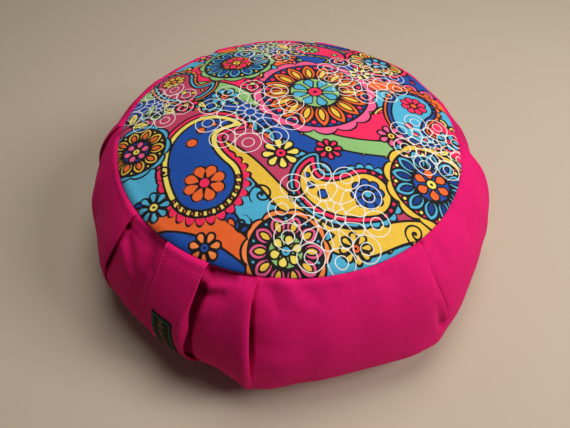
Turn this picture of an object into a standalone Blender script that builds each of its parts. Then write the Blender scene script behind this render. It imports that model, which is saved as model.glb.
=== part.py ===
"""Round pleated floor cushion: printed top, pleated side band, plain base, side strap and label.

Metres, +Z up. The origin is the centre of the base, on the floor. The side with the strap and the
label faces -Y, a little to the left. An azimuth is in degrees from +X, counter-clockwise seen from
above. The side wall is measured by its drop: 0 at the top seam, 1 at the belly, 2 at the base seam.
A lift is a distance out of the wall's mean surface, square to it.
"""

import math
from collections import namedtuple

import bmesh
import bpy

# The filled form.
SEAM_RADIUS = 0.150
SEAM_HEIGHT = 0.126
CROWN_RISE = 0.0255
CROWN_POWER = 2.2
BELLY_RADIUS = 0.192
BELLY_HEIGHT = 0.042
BASE_RADIUS = 0.1446
SHOULDER_POWER = 1.67
UNDER_POWER = 1.13
TOP_TILT = -1.46

# Cloth thicknesses and the space between two pieces.
PANEL_THICKNESS = 0.0015
GAP = 0.0003
FLOOR_CLEARANCE = 0.0004

# The strap, sewn into both seams, and the label on it.
STRAP_WIDTH = 0.037
STRAP_THICKNESS = 0.0024
STRAP_EDGE_ROOM = 0.0010
STRAP_END_DROP = 0.006
LABEL_WIDTH = 0.0218
LABEL_THICKNESS = 0.0010
LABEL_TOP_DROP = 0.700
LABEL_BOTTOM_DROP = 1.035

# Each pleat's folded edge lies over the next panel, seen turning counter-clockwise.
# Azimuths at the top seam, the shoulder and the belly. The edge stands out by ridge. The panel that
# starts under it is sunk by recess, keeps the share valley of that past the fold, comes up over the
# share reach of its width and goes back under the edge by tuck. Mouth widens the pocket beside the
# edge. Middle is the lift of the panel's middle.
Pleat = namedtuple("Pleat", "seam shoulder belly ridge recess valley mouth reach tuck middle")
PLEATS = (
    Pleat(38.0, 37.6, 38.6, 0.0012, 0.0030, 0.35, 0.8, 0.28, tuck=0.0040, middle=-0.0028),
    Pleat(79.0, 79.8, 80.2, 0.0025, 0.0050, 0.35, 0.8, 0.30, tuck=0.0045, middle=-0.0005),
    Pleat(121.0, 120.0, 119.5, 0.0025, 0.0050, 0.50, 0.8, 0.35, tuck=0.0040, middle=-0.0030),
    Pleat(177.6, 177.6, 175.5, 0.0020, 0.0055, 0.45, 0.6, 0.28, tuck=0.0050, middle=-0.0024),
    Pleat(219.0, 217.8, 213.7, 0.0030, 0.0018, 0.30, 0.25, 0.28, tuck=0.0040, middle=0.0005),
    Pleat(261.5, 260.3, 260.9, 0.0056, 0.0085, 0.20, 0.5, 0.28, tuck=0.0075, middle=-0.0028),
    Pleat(309.0, 307.9, 311.2, 0.0032, 0.0030, 0.20, 0.8, 0.28, tuck=0.0030, middle=-0.0018),
    Pleat(357.0, 354.3, 350.8, 0.0036, 0.0070, 1.00, 1.0, 0.45, tuck=0.0030, middle=-0.0025),
)
PANEL_MIDDLE = 0.66
PANEL_SWELL = 0.0010
SHOULDER_DROP = 0.4
STRAP_PANEL = 4

# The section across a fold, from the outer layer round its edge to the next panel. Along is the
# distance past the pleat's line, with mouth times the pleat's mouth on top, less under times the
# tuck; ridge and sink are shares of the pleat's ridge and recess; rise is how far the next panel
# has come up again to its valley.
FoldPoint = namedtuple("FoldPoint", "along mouth under ridge sink rise")
FOLD = (
    FoldPoint(along=-0.0090, mouth=0.0000, under=0.00, ridge=0.90, sink=0.00, rise=0.0),
    FoldPoint(along=-0.0018, mouth=0.0000, under=0.00, ridge=1.00, sink=0.00, rise=0.0),
    FoldPoint(along=0.0002, mouth=0.0000, under=0.00, ridge=0.83, sink=0.08, rise=0.0),
    FoldPoint(along=0.0006, mouth=0.0000, under=0.60, ridge=0.40, sink=0.32, rise=0.0),
    FoldPoint(along=0.0010, mouth=0.0000, under=1.00, ridge=0.18, sink=0.55, rise=0.0),
    FoldPoint(along=0.0014, mouth=0.0000, under=0.95, ridge=0.04, sink=0.82, rise=0.0),
    FoldPoint(along=0.0018, mouth=0.0000, under=0.45, ridge=0.00, sink=0.98, rise=0.0),
    FoldPoint(along=0.0022, mouth=0.0004, under=0.00, ridge=0.00, sink=1.00, rise=0.08),
    FoldPoint(along=0.0026, mouth=0.0020, under=0.00, ridge=0.00, sink=1.00, rise=0.60),
    FoldPoint(along=0.0034, mouth=0.0080, under=0.00, ridge=0.00, sink=1.00, rise=1.00),
)

# How deep the recesses lie down the wall, and how far the folds' edges stay turned under.
Depth = namedtuple("Depth", "drop share")
RECESS_DEPTH = (
    Depth(drop=0.00, share=0.00),
    Depth(drop=0.32, share=0.12),
    Depth(drop=0.48, share=0.55),
    Depth(drop=0.62, share=1.00),
    Depth(drop=0.74, share=0.90),
    Depth(drop=0.87, share=0.28),
    Depth(drop=1.00, share=0.06),
    Depth(drop=2.00, share=0.00),
)
FOLD_OPEN = (
    Depth(drop=0.00, share=1.00),
    Depth(drop=0.64, share=1.00),
    Depth(drop=0.82, share=0.50),
    Depth(drop=0.96, share=0.12),
    Depth(drop=2.00, share=0.06),
)
# How high the ridges stand down the wall.
RIDGE_HEIGHT = (
    Depth(drop=0.00, share=0.00),
    Depth(drop=0.15, share=0.18),
    Depth(drop=0.35, share=0.50),
    Depth(drop=0.60, share=0.90),
    Depth(drop=0.80, share=1.00),
    Depth(drop=1.20, share=0.92),
    Depth(drop=2.00, share=0.00),
)

# The strap holds the side in round it: how far in, by azimuth, and what share of that by drop.
Turn = namedtuple("Turn", "azimuth depth")
DRAWN_IN = (
    Turn(azimuth=190.0, depth=0.0),
    Turn(azimuth=214.0, depth=0.0028),
    Turn(azimuth=228.0, depth=0.0044),
    Turn(azimuth=240.0, depth=0.0058),
    Turn(azimuth=252.0, depth=0.0046),
    Turn(azimuth=262.0, depth=0.0008),
    Turn(azimuth=272.0, depth=0.0),
)
DRAWN_SHARE = (
    Depth(drop=0.00, share=0.00),
    Depth(drop=0.10, share=0.26),
    Depth(drop=0.24, share=0.62),
    Depth(drop=0.45, share=0.72),
    Depth(drop=0.80, share=0.90),
    Depth(drop=1.10, share=1.00),
    Depth(drop=1.60, share=0.70),
    Depth(drop=2.00, share=0.00),
)

# How far the top seam lies out of round, by azimuth, and the drop where the wall is round again.
SEAM_TURNS = (
    Turn(azimuth=0.0, depth=0.0),
    Turn(azimuth=22.0, depth=0.0020),
    Turn(azimuth=42.0, depth=0.0028),
    Turn(azimuth=62.0, depth=0.0012),
    Turn(azimuth=88.0, depth=0.0),
    Turn(azimuth=118.0, depth=-0.0008),
    Turn(azimuth=140.0, depth=-0.0024),
    Turn(azimuth=162.0, depth=-0.0010),
    Turn(azimuth=184.0, depth=0.0),
    Turn(azimuth=360.0, depth=0.0),
)
SEAM_TURN_DROP = 0.5
SEAM_TURN_POWER = 3

# The strap's way down the wall: its middle's azimuth, and the lift of its outer face at its edges.
Strap = namedtuple("Strap", "drop azimuth left right")
STRAP_PATH = (
    Strap(drop=0.00, azimuth=240.1, left=0.0014, right=0.0014),
    Strap(drop=0.20, azimuth=240.0, left=0.0026, right=0.0044),
    Strap(drop=0.45, azimuth=239.6, left=0.0025, right=0.0059),
    Strap(drop=0.65, azimuth=238.2, left=0.0024, right=0.0068),
    Strap(drop=0.85, azimuth=237.9, left=0.0024, right=0.0055),
    Strap(drop=1.10, azimuth=238.7, left=0.0026, right=0.0042),
    Strap(drop=1.50, azimuth=239.9, left=0.0020, right=0.0025),
    Strap(drop=2.00, azimuth=240.2, left=0.0, right=0.0),
)

# The hollow that starts under the strap's right edge: its depth, and how far on the wall is up again.
Hollow = namedtuple("Hollow", "drop depth rise")
HOLLOWS = (
    Hollow(drop=0.00, depth=0.0, rise=0.0060),
    Hollow(drop=0.16, depth=0.0030, rise=0.0060),
    Hollow(drop=0.27, depth=-0.0012, rise=0.0060),
    Hollow(drop=0.42, depth=0.0085, rise=0.0070),
    Hollow(drop=0.65, depth=0.0088, rise=0.0105),
    Hollow(drop=0.85, depth=0.0065, rise=0.0075),
    Hollow(drop=1.10, depth=0.0012, rise=0.0060),
    Hollow(drop=1.40, depth=0.0, rise=0.0060),
    Hollow(drop=2.00, depth=0.0, rise=0.0060),
)
HOLLOW_START = 0.62
HOLLOW_DISTANCE = 0.0010
HOLLOW_COLUMNS = (0.0, 0.5, 1.0)

# Mesh counts.
CROWN_RINGS = (0.142, 0.122, 0.098, 0.070, 0.040, 0.016)
SHOULDER_ROWS = 13
UNDER_ROWS = 8
PANEL_COLUMNS = 6
STRAP_COLUMNS = 5
STRAP_SIDE_COLUMNS = 3
DISC_COLUMNS = 84
LABEL_ROWS = 8
LABEL_COLUMNS = 4

SMOOTH_ANGLE = math.radians(40)


def eased(share):
    """Ease from 0 to 1 with level ends."""
    share = min(max(share, 0.0), 1.0)
    return share * share * (3 - 2 * share)


def profile(drop):
    """Radius and height of the side wall's mean surface at a drop."""
    if drop <= 1:
        turn = drop * math.pi / 2
        out = math.sin(turn) ** SHOULDER_POWER
        radius = SEAM_RADIUS + (BELLY_RADIUS - SEAM_RADIUS) * out
        height = BELLY_HEIGHT + (SEAM_HEIGHT - BELLY_HEIGHT) * math.cos(turn)
        return radius, height
    turn = (drop - 1) * math.pi / 2
    out = max(math.cos(turn), 0.0) ** UNDER_POWER
    radius = BASE_RADIUS + (BELLY_RADIUS - BASE_RADIUS) * out
    height = FLOOR_CLEARANCE + (BELLY_HEIGHT - FLOOR_CLEARANCE) * (1 - math.sin(turn))
    return radius, height


def outward(drop):
    """Direction out of the wall at a drop, as its radial and its upward part."""
    step = 0.01
    above = profile(max(drop - step, 0.0))
    below = profile(min(drop + step, 2.0))
    along_radius = below[0] - above[0]
    along_height = below[1] - above[1]
    length = math.hypot(along_radius, along_height)
    return -along_height / length, along_radius / length


def tilted(radius, azimuth, height):
    """A point of the cushion, whose top leans down to the right."""
    x = radius * math.cos(math.radians(azimuth))
    y = radius * math.sin(math.radians(azimuth))
    lean = math.tan(math.radians(TOP_TILT)) * x
    return x, y, height + lean * min(max(height / SEAM_HEIGHT, 0.0), 1.0)


def drawn_in(azimuth, drop):
    """How far the strap holds the wall in at an azimuth and a drop."""
    depth = read(DRAWN_IN, azimuth, "depth", along="azimuth")
    return depth * read(DRAWN_SHARE, drop, "share")


def seam_out(azimuth, radius):
    """How far the top seam's turns move a point of the top out, less and less towards the middle."""
    depth = read(SEAM_TURNS, azimuth % 360, "depth", along="azimuth")
    return depth * (radius / SEAM_RADIUS) ** SEAM_TURN_POWER


def wall_point(azimuth, drop, lift, least_height=FLOOR_CLEARANCE):
    """A point lifted off the side wall, pressed flat where it meets the floor."""
    radius, height = profile(drop)
    radius += seam_out(azimuth, SEAM_RADIUS) * (1 - eased(drop / SEAM_TURN_DROP))
    out, up = outward(drop)
    lift = lift - drawn_in(azimuth, drop)
    x, y, z = tilted(radius + lift * out, azimuth, height + lift * up)
    return x, y, max(z, least_height)


def crown_point(azimuth, radius, sink=0.0):
    """A point at a radius of the domed top, or as far under it as sink."""
    return tilted(radius + seam_out(azimuth, radius), azimuth, crown_height(radius) - sink)


def crown_height(radius):
    """Height of the domed top at a radius."""
    return SEAM_HEIGHT + CROWN_RISE * (1 - (radius / SEAM_RADIUS) ** CROWN_POWER)


def fullness(drop):
    """How full the panels between the folds are: nothing at the two seams, all at the belly."""
    return math.sin(math.pi * min(max(drop, 0.0), 2.0) / 2) ** 0.6


def read(table, place, column, along="drop"):
    """A column of a table at a place along it, eased between its rows."""
    for above, below in zip(table, table[1:]):
        if place <= getattr(below, along):
            break
    first = getattr(above, along)
    mix = eased((place - first) / (getattr(below, along) - first))
    start = getattr(above, column)
    return start + (getattr(below, column) - start) * mix


def slope_at(table, index, column):
    """Slope of a column at a row, from the rows on both sides of it."""
    above = table[max(index - 1, 0)]
    below = table[min(index + 1, len(table) - 1)]
    return (getattr(below, column) - getattr(above, column)) / (below.drop - above.drop)


def read_smooth(table, drop, column):
    """A column of a table of drops, on a smooth curve through its rows."""
    for index, (above, below) in enumerate(zip(table, table[1:])):
        if drop <= below.drop:
            break
    step = below.drop - above.drop
    share = (drop - above.drop) / step
    square, cube = share**2, share**3
    start = getattr(above, column) * (2 * cube - 3 * square + 1)
    start += slope_at(table, index, column) * step * (cube - 2 * square + share)
    end = getattr(below, column) * (3 * square - 2 * cube)
    end += slope_at(table, index + 1, column) * step * (cube - square)
    return start + end


def degrees_along(distance, drop):
    """The azimuth that a distance along the wall takes up at a drop."""
    return math.degrees(distance / profile(drop)[0])


def pleat_azimuth(pleat, drop):
    """Azimuth of a pleat's line at a drop."""
    if drop < SHOULDER_DROP:
        return pleat.seam + (pleat.shoulder - pleat.seam) * eased(drop / SHOULDER_DROP)
    below = (drop - SHOULDER_DROP) / (1 - SHOULDER_DROP)
    return pleat.shoulder + (pleat.belly - pleat.shoulder) * eased(below)


def strap_azimuth(across, drop):
    """Azimuth on the strap, from its left edge (0) to its right edge (1)."""
    middle = read_smooth(STRAP_PATH, drop, "azimuth")
    return middle + degrees_along(STRAP_WIDTH * (across - 0.5), drop)


def strap_shares():
    """The strap's columns, as shares of its width."""
    return [k / (STRAP_COLUMNS - 1) for k in range(STRAP_COLUMNS)]


def strap_lift(across, drop):
    """Lift of the strap's outer face, which comes down to the wall at the base seam."""
    left = read_smooth(STRAP_PATH, drop, "left")
    return left + (read_smooth(STRAP_PATH, drop, "right") - left) * across


def strap_seat(across, drop):
    """Lift of the wall under the strap, falling into the hollow under the strap's right edge."""
    seat = strap_lift(across, drop) - STRAP_THICKNESS - GAP
    hollow = min(-read(HOLLOWS, drop, "depth"), seat)
    return seat + (hollow - seat) * eased((across - HOLLOW_START) / (1 - HOLLOW_START))


def fold_columns(pleat, drop):
    """Azimuth and lift of each point of the section across a pleat's fold."""
    share = read(RECESS_DEPTH, drop, "share")
    opened = read(FOLD_OPEN, drop, "share")
    ridge = pleat.ridge * read_smooth(RIDGE_HEIGHT, drop, "share")
    line = pleat_azimuth(pleat, drop)
    columns = []
    for point in FOLD:
        along = point.along + point.mouth * pleat.mouth - point.under * pleat.tuck * share
        lift = ridge * (1 - (1 - point.ridge) * opened)
        lift -= pleat.recess * share * (point.sink - (1 - pleat.valley) * point.rise)
        columns.append((line + degrees_along(along, drop), lift))
    return columns


def panel_lift(share, first, last, drop):
    """Lift of a panel from the fold that it starts under (0) to its own ridge (1)."""
    full = fullness(drop)
    stations = (
        (0.0, fold_columns(first, drop)[-1][1]),
        (first.reach, (first.middle + PANEL_SWELL) * full),
        (PANEL_MIDDLE, first.middle * full),
        (1.0, last.ridge * read_smooth(RIDGE_HEIGHT, drop, "share")),
    )
    for low, high in zip(stations, stations[1:]):
        if share <= high[0]:
            break
    return low[1] + (high[1] - low[1]) * eased((share - low[0]) / (high[0] - low[0]))


def spread(first, last, count):
    """Values spaced evenly between two others, without them."""
    return [first + (last - first) * (k + 1) / (count + 1) for k in range(count)]


def plain_panel_columns(first, last, start, end, drop):
    """Azimuth and lift across a panel that has nothing on it."""
    columns = []
    for share in spread(0.0, 1.0, PANEL_COLUMNS):
        azimuth = start + (end - start) * share
        columns.append((azimuth, panel_lift(share, first, last, drop)))
    return columns


def strap_panel_columns(first, last, start, end, drop):
    """Azimuth and lift across the panel that carries the strap."""
    left = strap_azimuth(0.0, drop) - degrees_along(STRAP_EDGE_ROOM, drop)
    rise = read(HOLLOWS, drop, "rise")
    floor = strap_seat(1.0, drop)

    def plain(azimuth):
        return panel_lift((azimuth - start) / (end - start), first, last, drop)

    columns = [(azimuth, plain(azimuth)) for azimuth in spread(start, left, STRAP_SIDE_COLUMNS)]
    columns.append((left, min(plain(left), strap_seat(0.0, drop))))
    for across in strap_shares():
        columns.append((strap_azimuth(across, drop), strap_seat(across, drop)))
    for share in HOLLOW_COLUMNS:
        azimuth = strap_azimuth(1.0, drop) + degrees_along(HOLLOW_DISTANCE + rise * share, drop)
        columns.append((azimuth, floor + (plain(azimuth) - floor) * eased(share)))
    columns += [(azimuth, plain(azimuth)) for azimuth in spread(azimuth, end, STRAP_SIDE_COLUMNS)]
    return columns


def wall_columns(drop):
    """Azimuth and lift of every column round the side wall at a drop."""
    columns = []
    for index, first in enumerate(PLEATS):
        last = PLEATS[(index + 1) % len(PLEATS)]
        fold = fold_columns(first, drop)
        turn = 360.0 if index == len(PLEATS) - 1 else 0.0
        start = fold[-1][0]
        end = fold_columns(last, drop)[0][0] + turn
        across = strap_panel_columns if index == STRAP_PANEL else plain_panel_columns
        columns += fold
        columns += across(first, last, start, end, drop)
    return columns


def least_height(azimuth, drop):
    """The wall's least height: over the strap where that passes between it and the floor."""
    left = strap_azimuth(0.0, drop) - degrees_along(2 * STRAP_EDGE_ROOM, drop)
    right = strap_azimuth(1.0, drop) + degrees_along(2 * STRAP_EDGE_ROOM, drop)
    if left < azimuth < right:
        return FLOOR_CLEARANCE + STRAP_THICKNESS + GAP
    return FLOOR_CLEARANCE


def wall_ring(drop):
    """The points round the side wall at a drop."""
    ring = []
    for azimuth, lift in wall_columns(drop):
        ring.append(wall_point(azimuth, drop, lift, least_height(azimuth, drop)))
    return ring


def drops():
    """The rows of the side wall, closer together under the shoulder and near the floor."""
    upper = [k / SHOULDER_ROWS for k in range(SHOULDER_ROWS)]
    lower = [1 + k / UNDER_ROWS for k in range(UNDER_ROWS + 1)]
    return upper + lower


def crown_ring(radius, sink):
    """The points round the filling's crown, under the top panel."""
    return [crown_point(azimuth, radius, sink) for azimuth, _ in wall_columns(0.0)]


def base_ring(radius, height):
    """The points round the filling's flat underside, over the base panel."""
    return [tilted(radius, azimuth, height) for azimuth, _ in wall_columns(2.0)]


def add_ring(mesh, points):
    """Add one vertex for each point."""
    return [mesh.verts.new(point) for point in points]


def bridge(mesh, upper, lower, closed=True):
    """Join two rows of vertices by four-sided faces that look outward."""
    count = len(upper) if closed else len(upper) - 1
    for k in range(count):
        after = (k + 1) % len(upper)
        mesh.faces.new((upper[k], lower[k], lower[after], upper[after]))


def cap(mesh, ring, centre, facing_up):
    """Close a ring of vertices by a fan round a centre point."""
    middle = mesh.verts.new(centre)
    for k, vertex in enumerate(ring):
        after = ring[(k + 1) % len(ring)]
        corners = (middle, vertex, after) if facing_up else (middle, after, vertex)
        mesh.faces.new(corners)


def add_object(name, mesh, material):
    """Put a finished mesh in the scene under its name, shaded smooth over its soft bends."""
    data = bpy.data.meshes.new(name)
    bmesh.ops.recalc_face_normals(mesh, faces=mesh.faces)
    mesh.to_mesh(data)
    mesh.free()
    data.shade_smooth()
    data.set_sharp_from_angle(angle=SMOOTH_ANGLE)
    data.materials.append(material)
    thing = bpy.data.objects.new(name, data)
    bpy.context.collection.objects.link(thing)
    return thing


def make_material(name, colour, roughness):
    """A cloth's plain material."""
    material = bpy.data.materials.new(name)
    material.use_nodes = True
    shader = material.node_tree.nodes["Principled BSDF"]
    shader.inputs["Base Color"].default_value = (*colour, 1.0)
    shader.inputs["Roughness"].default_value = roughness
    shader.inputs["Metallic"].default_value = 0.0
    material.diffuse_color = (*colour, 1.0)
    return material


def band_material():
    """Magenta cotton canvas."""
    return make_material("magenta_cotton_canvas", (0.62, 0.012, 0.13), 0.85)


def print_material():
    """Printed cotton canvas, here in its ground colour."""
    return make_material("printed_cotton_canvas", (0.02, 0.09, 0.42), 0.80)


def label_material():
    """Black woven label cloth."""
    return make_material("black_woven_label", (0.006, 0.005, 0.005), 0.70)


def build_side_band(material):
    """The pleated side wall and the filling that holds it out, as one filled solid."""
    mesh = bmesh.new()
    under_panel = PANEL_THICKNESS + GAP
    rings = [add_ring(mesh, crown_ring(radius, under_panel)) for radius in reversed(CROWN_RINGS)]
    rings.append(add_ring(mesh, crown_ring(SEAM_RADIUS - GAP, under_panel)))
    rings += [add_ring(mesh, wall_ring(drop)) for drop in drops()]
    over_base = PANEL_THICKNESS + GAP
    rings.append(add_ring(mesh, base_ring(BASE_RADIUS - GAP, over_base)))
    for upper, lower in zip(rings, rings[1:]):
        bridge(mesh, upper, lower)
    cap(mesh, rings[0], (0.0, 0.0, crown_height(0.0) - under_panel), facing_up=True)
    cap(mesh, rings[-1], (0.0, 0.0, over_base), facing_up=False)
    return add_object("side_band", mesh, material)


def disc_azimuths():
    """Even azimuths round a cut disc of cloth."""
    return [360.0 * k / DISC_COLUMNS for k in range(DISC_COLUMNS)]


def build_top_panel(material):
    """The domed printed round that closes the top."""
    mesh = bmesh.new()
    edge = SEAM_RADIUS - 3 * GAP
    radii = list(reversed(CROWN_RINGS)) + [edge]
    turns = disc_azimuths()
    rings = []
    for radius in radii:
        rings.append(add_ring(mesh, [crown_point(azimuth, radius) for azimuth in turns]))
    for radius in reversed(radii):
        under = [crown_point(azimuth, radius, PANEL_THICKNESS) for azimuth in turns]
        rings.append(add_ring(mesh, under))
    for upper, lower in zip(rings, rings[1:]):
        bridge(mesh, upper, lower)
    middle = crown_height(0.0)
    cap(mesh, rings[0], (0.0, 0.0, middle), facing_up=True)
    cap(mesh, rings[-1], (0.0, 0.0, middle - PANEL_THICKNESS), facing_up=False)
    return add_object("top_panel", mesh, material)


def build_bottom_panel(material):
    """The flat round that closes the base and rests on the floor."""
    mesh = bmesh.new()
    edge = BASE_RADIUS - 3 * GAP
    turns = disc_azimuths()
    upper = add_ring(mesh, [tilted(edge, azimuth, PANEL_THICKNESS) for azimuth in turns])
    lower = add_ring(mesh, [tilted(edge, azimuth, 0.0) for azimuth in turns])
    bridge(mesh, upper, lower)
    mesh.faces.new(upper)
    mesh.faces.new(lower)
    return add_object("bottom_panel", mesh, material)


def layered_sheet(name, outer, inner, material):
    """A sheet of cloth between two grids of points with the same rows and columns."""
    mesh = bmesh.new()
    outer_rows = [add_ring(mesh, row) for row in outer]
    inner_rows = [add_ring(mesh, row) for row in inner]
    loops = []
    for outer_row, inner_row in zip(outer_rows, inner_rows):
        loops.append(outer_row + list(reversed(inner_row)))
    for upper, lower in zip(loops, loops[1:]):
        bridge(mesh, upper, lower)
    for outer_row, inner_row in ((outer_rows[0], inner_rows[0]), (outer_rows[-1], inner_rows[-1])):
        bridge(mesh, outer_row, inner_row, closed=False)
    return add_object(name, mesh, material)


def build_carry_strap(material):
    """The strap down the side, from the top seam to the base seam."""
    rows = [STRAP_END_DROP] + drops()[1:-1] + [2 - STRAP_END_DROP]
    inner_least = FLOOR_CLEARANCE + STRAP_THICKNESS
    outer = []
    inner = []
    for drop in rows:
        turns = [strap_azimuth(share, drop) for share in strap_shares()]
        lifts = [strap_lift(share, drop) for share in strap_shares()]
        pairs = list(zip(turns, lifts))
        outer.append([wall_point(turn, drop, lift) for turn, lift in pairs])
        inner.append(
            [wall_point(turn, drop, lift - STRAP_THICKNESS, inner_least) for turn, lift in pairs]
        )
    return layered_sheet("carry_strap", outer, inner, material)


def build_label(material):
    """The woven label sewn flat on the strap, above the belly."""
    margin = (1 - LABEL_WIDTH / STRAP_WIDTH) / 2
    shares = [margin + (1 - 2 * margin) * k / LABEL_COLUMNS for k in range(LABEL_COLUMNS + 1)]
    outer = []
    inner = []
    for k in range(LABEL_ROWS + 1):
        drop = LABEL_TOP_DROP + (LABEL_BOTTOM_DROP - LABEL_TOP_DROP) * k / LABEL_ROWS
        pairs = [(strap_azimuth(share, drop), strap_lift(share, drop) + GAP) for share in shares]
        outer.append([wall_point(turn, drop, lift + LABEL_THICKNESS) for turn, lift in pairs])
        inner.append([wall_point(turn, drop, lift) for turn, lift in pairs])
    return layered_sheet("label", outer, inner, material)


def clear_scene():
    """Remove whatever the scene holds."""
    for thing in list(bpy.data.objects):
        bpy.data.objects.remove(thing, do_unlink=True)


def main():
    """Build the cushion."""
    clear_scene()
    canvas = band_material()
    build_side_band(canvas)
    build_top_panel(print_material())
    build_bottom_panel(canvas)
    build_carry_strap(canvas)
    build_label(label_material())


if __name__ == "__main__":
    main()
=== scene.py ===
"""Finish for a round pleated floor cushion: canvas, printed top, strap, label and studio stage.

Metres, +Z up, in the frame of the cushion's solids. An azimuth is in degrees from +X,
counter-clockwise seen from above. The side wall is measured by its drop: 0 at the top seam, 1 at the
belly, 2 at the base seam. A lift is a distance out of the wall's mean surface, square to it.
The print is drawn in millimetres on its flat round, x to the right and y away from the strap side.
"""

import math
from collections import namedtuple

import bpy
import numpy as np
from bpy.props import FloatProperty, FloatVectorProperty, IntProperty, PointerProperty
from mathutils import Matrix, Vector


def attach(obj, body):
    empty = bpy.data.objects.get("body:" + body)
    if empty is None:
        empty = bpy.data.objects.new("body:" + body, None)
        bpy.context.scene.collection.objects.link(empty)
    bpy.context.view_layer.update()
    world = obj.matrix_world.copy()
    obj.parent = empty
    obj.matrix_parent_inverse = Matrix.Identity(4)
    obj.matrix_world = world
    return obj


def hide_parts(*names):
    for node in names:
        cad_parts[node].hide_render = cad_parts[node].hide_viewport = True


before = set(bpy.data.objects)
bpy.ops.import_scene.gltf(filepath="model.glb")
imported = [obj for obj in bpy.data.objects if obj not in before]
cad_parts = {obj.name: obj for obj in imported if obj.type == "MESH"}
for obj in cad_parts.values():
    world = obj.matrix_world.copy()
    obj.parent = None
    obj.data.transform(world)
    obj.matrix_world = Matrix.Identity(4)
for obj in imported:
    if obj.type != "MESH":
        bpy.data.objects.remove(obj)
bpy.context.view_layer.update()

bl_info = {
    "name": "Pleated Floor Cushion",
    "version": (1, 0, 0),
    "blender": (4, 5, 0),
    "location": "View3D > Sidebar > Cushion",
    "description": "Dresses a round pleated floor cushion with canvas, print, strap and label",
    "category": "Object",
}

MM = 0.001

# ----------------------------------------
# The filled form, on the solids' sizes. Some folds, creases and turns go 1 to 3 mm further.

SEAM_RADIUS = 0.150
SEAM_HEIGHT = 0.126
CROWN_RISE = 0.0255
CROWN_POWER = 2.2
BELLY_RADIUS = 0.192
BELLY_HEIGHT = 0.042
BASE_RADIUS = 0.1446
SHOULDER_POWER = 1.67
UNDER_POWER = 1.13
FULLNESS_POWER = 0.6
TOP_TILT = -1.46
PANEL_THICKNESS = 0.0015
GAP = 0.0003
FLOOR_CLEARANCE = 0.0004
CROWN_RINGS = (0.142, 0.122, 0.098, 0.070, 0.040, 0.016)

STRAP_WIDTH = 0.037
STRAP_THICKNESS = 0.0024
LABEL_WIDTH = 0.0218
LABEL_THICKNESS = 0.0010
LABEL_TOP_DROP = 0.700
LABEL_BOTTOM_DROP = 1.035

# Azimuths of each pleat's line at the top seam, the shoulder and the belly. Its folded edge stands
# out by ridge over the next panel, which starts sunk by recess, keeps the share valley of that past
# the fold, comes up over the share reach of its width and goes back under the edge by tuck. Mouth
# widens the gap beside the edge. Middle is the lift of that panel's middle, start the step of the
# fold close under the seam, pocket the drop where the fold gapes, 0 for nowhere, and low how much
# of the edge goes on below the belly.
Pleat = namedtuple("Pleat", "seam shoulder belly ridge recess valley mouth reach"
                            " tuck middle start pocket low", defaults=(0.0, 0.0))
PLEATS = (
    Pleat(38.0, 37.6, 38.6, 0.0012, 0.0030, 0.35, 0.8, 0.28,
          tuck=0.0040, middle=-0.0028, start=0.0003),
    Pleat(79.0, 79.8, 80.2, 0.0025, 0.0050, 0.35, 0.8, 0.30,
          tuck=0.0045, middle=-0.0005, start=0.0003, low=0.1),
    Pleat(121.0, 120.0, 119.5, 0.0025, 0.0050, 0.50, 0.8, 0.35,
          tuck=0.0040, middle=-0.0014, start=0.0003, low=0.2),
    Pleat(177.6, 177.6, 175.5, 0.0020, 0.0055, 0.45, 0.6, 0.28,
          tuck=0.0050, middle=-0.0024, start=0.0008, low=0.15),
    Pleat(219.0, 217.8, 213.7, 0.0030, 0.0018, 0.30, 0.25, 0.28,
          tuck=0.0040, middle=0.0005, start=0.0010, pocket=0.31, low=0.4),
    Pleat(261.5, 260.3, 260.9, 0.0056, 0.0085, 0.20, 0.5, 0.28,
          tuck=0.0075, middle=-0.0028, start=0.0010),
    Pleat(309.0, 307.9, 311.2, 0.0032, 0.0030, 0.20, 0.8, 0.28,
          tuck=0.0030, middle=-0.0018, start=0.0012, pocket=0.11),
    Pleat(357.0, 354.3, 350.8, 0.0036, 0.0070, 1.00, 1.0, 0.45,
          tuck=0.0030, middle=-0.0025, start=0.0003, low=0.1),
)
SHOULDER_DROP = 0.4
# Where a panel's middle lies across it, how much it swells before that, and which panel has the strap.
PANEL_MIDDLE = 0.66
PANEL_SWELL = 0.0010
STRAP_PANEL = 4

# By drop: the share of a pleat's recess, how open its fold's section is, and the share of its ridge.
Depth = namedtuple("Depth", "drop share")
RECESS_DEPTH = (
    Depth(0.00, 0.00),
    Depth(0.32, 0.12),
    Depth(0.48, 0.55),
    Depth(0.62, 1.00),
    Depth(0.74, 0.90),
    Depth(0.86, 0.24),
    Depth(0.96, 0.03),
    Depth(1.08, 0.00),
    Depth(2.00, 0.00),
)
FOLD_OPEN = (
    Depth(0.00, 1.00),
    Depth(0.64, 1.00),
    Depth(0.82, 0.50),
    Depth(0.96, 0.08),
    Depth(1.10, 0.00),
    Depth(2.00, 0.00),
)
RIDGE_HEIGHT = (
    Depth(0.00, 0.00),
    Depth(0.15, 0.18),
    Depth(0.35, 0.50),
    Depth(0.60, 0.90),
    Depth(0.80, 1.00),
    Depth(1.20, 0.92),
    Depth(2.00, 0.00),
)
# What is left of a fold's step under the seam, and of an edge that goes on below the belly.
STEP_LEFT = (
    Depth(0.00, 1.00),
    Depth(1.20, 0.00),
    Depth(2.00, 0.00),
)
LOW_EDGE = (
    Depth(0.00, 0.00),
    Depth(0.60, 0.00),
    Depth(0.90, 1.00),
    Depth(1.30, 1.00),
    Depth(1.80, 0.00),
    Depth(2.00, 0.00),
)

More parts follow.
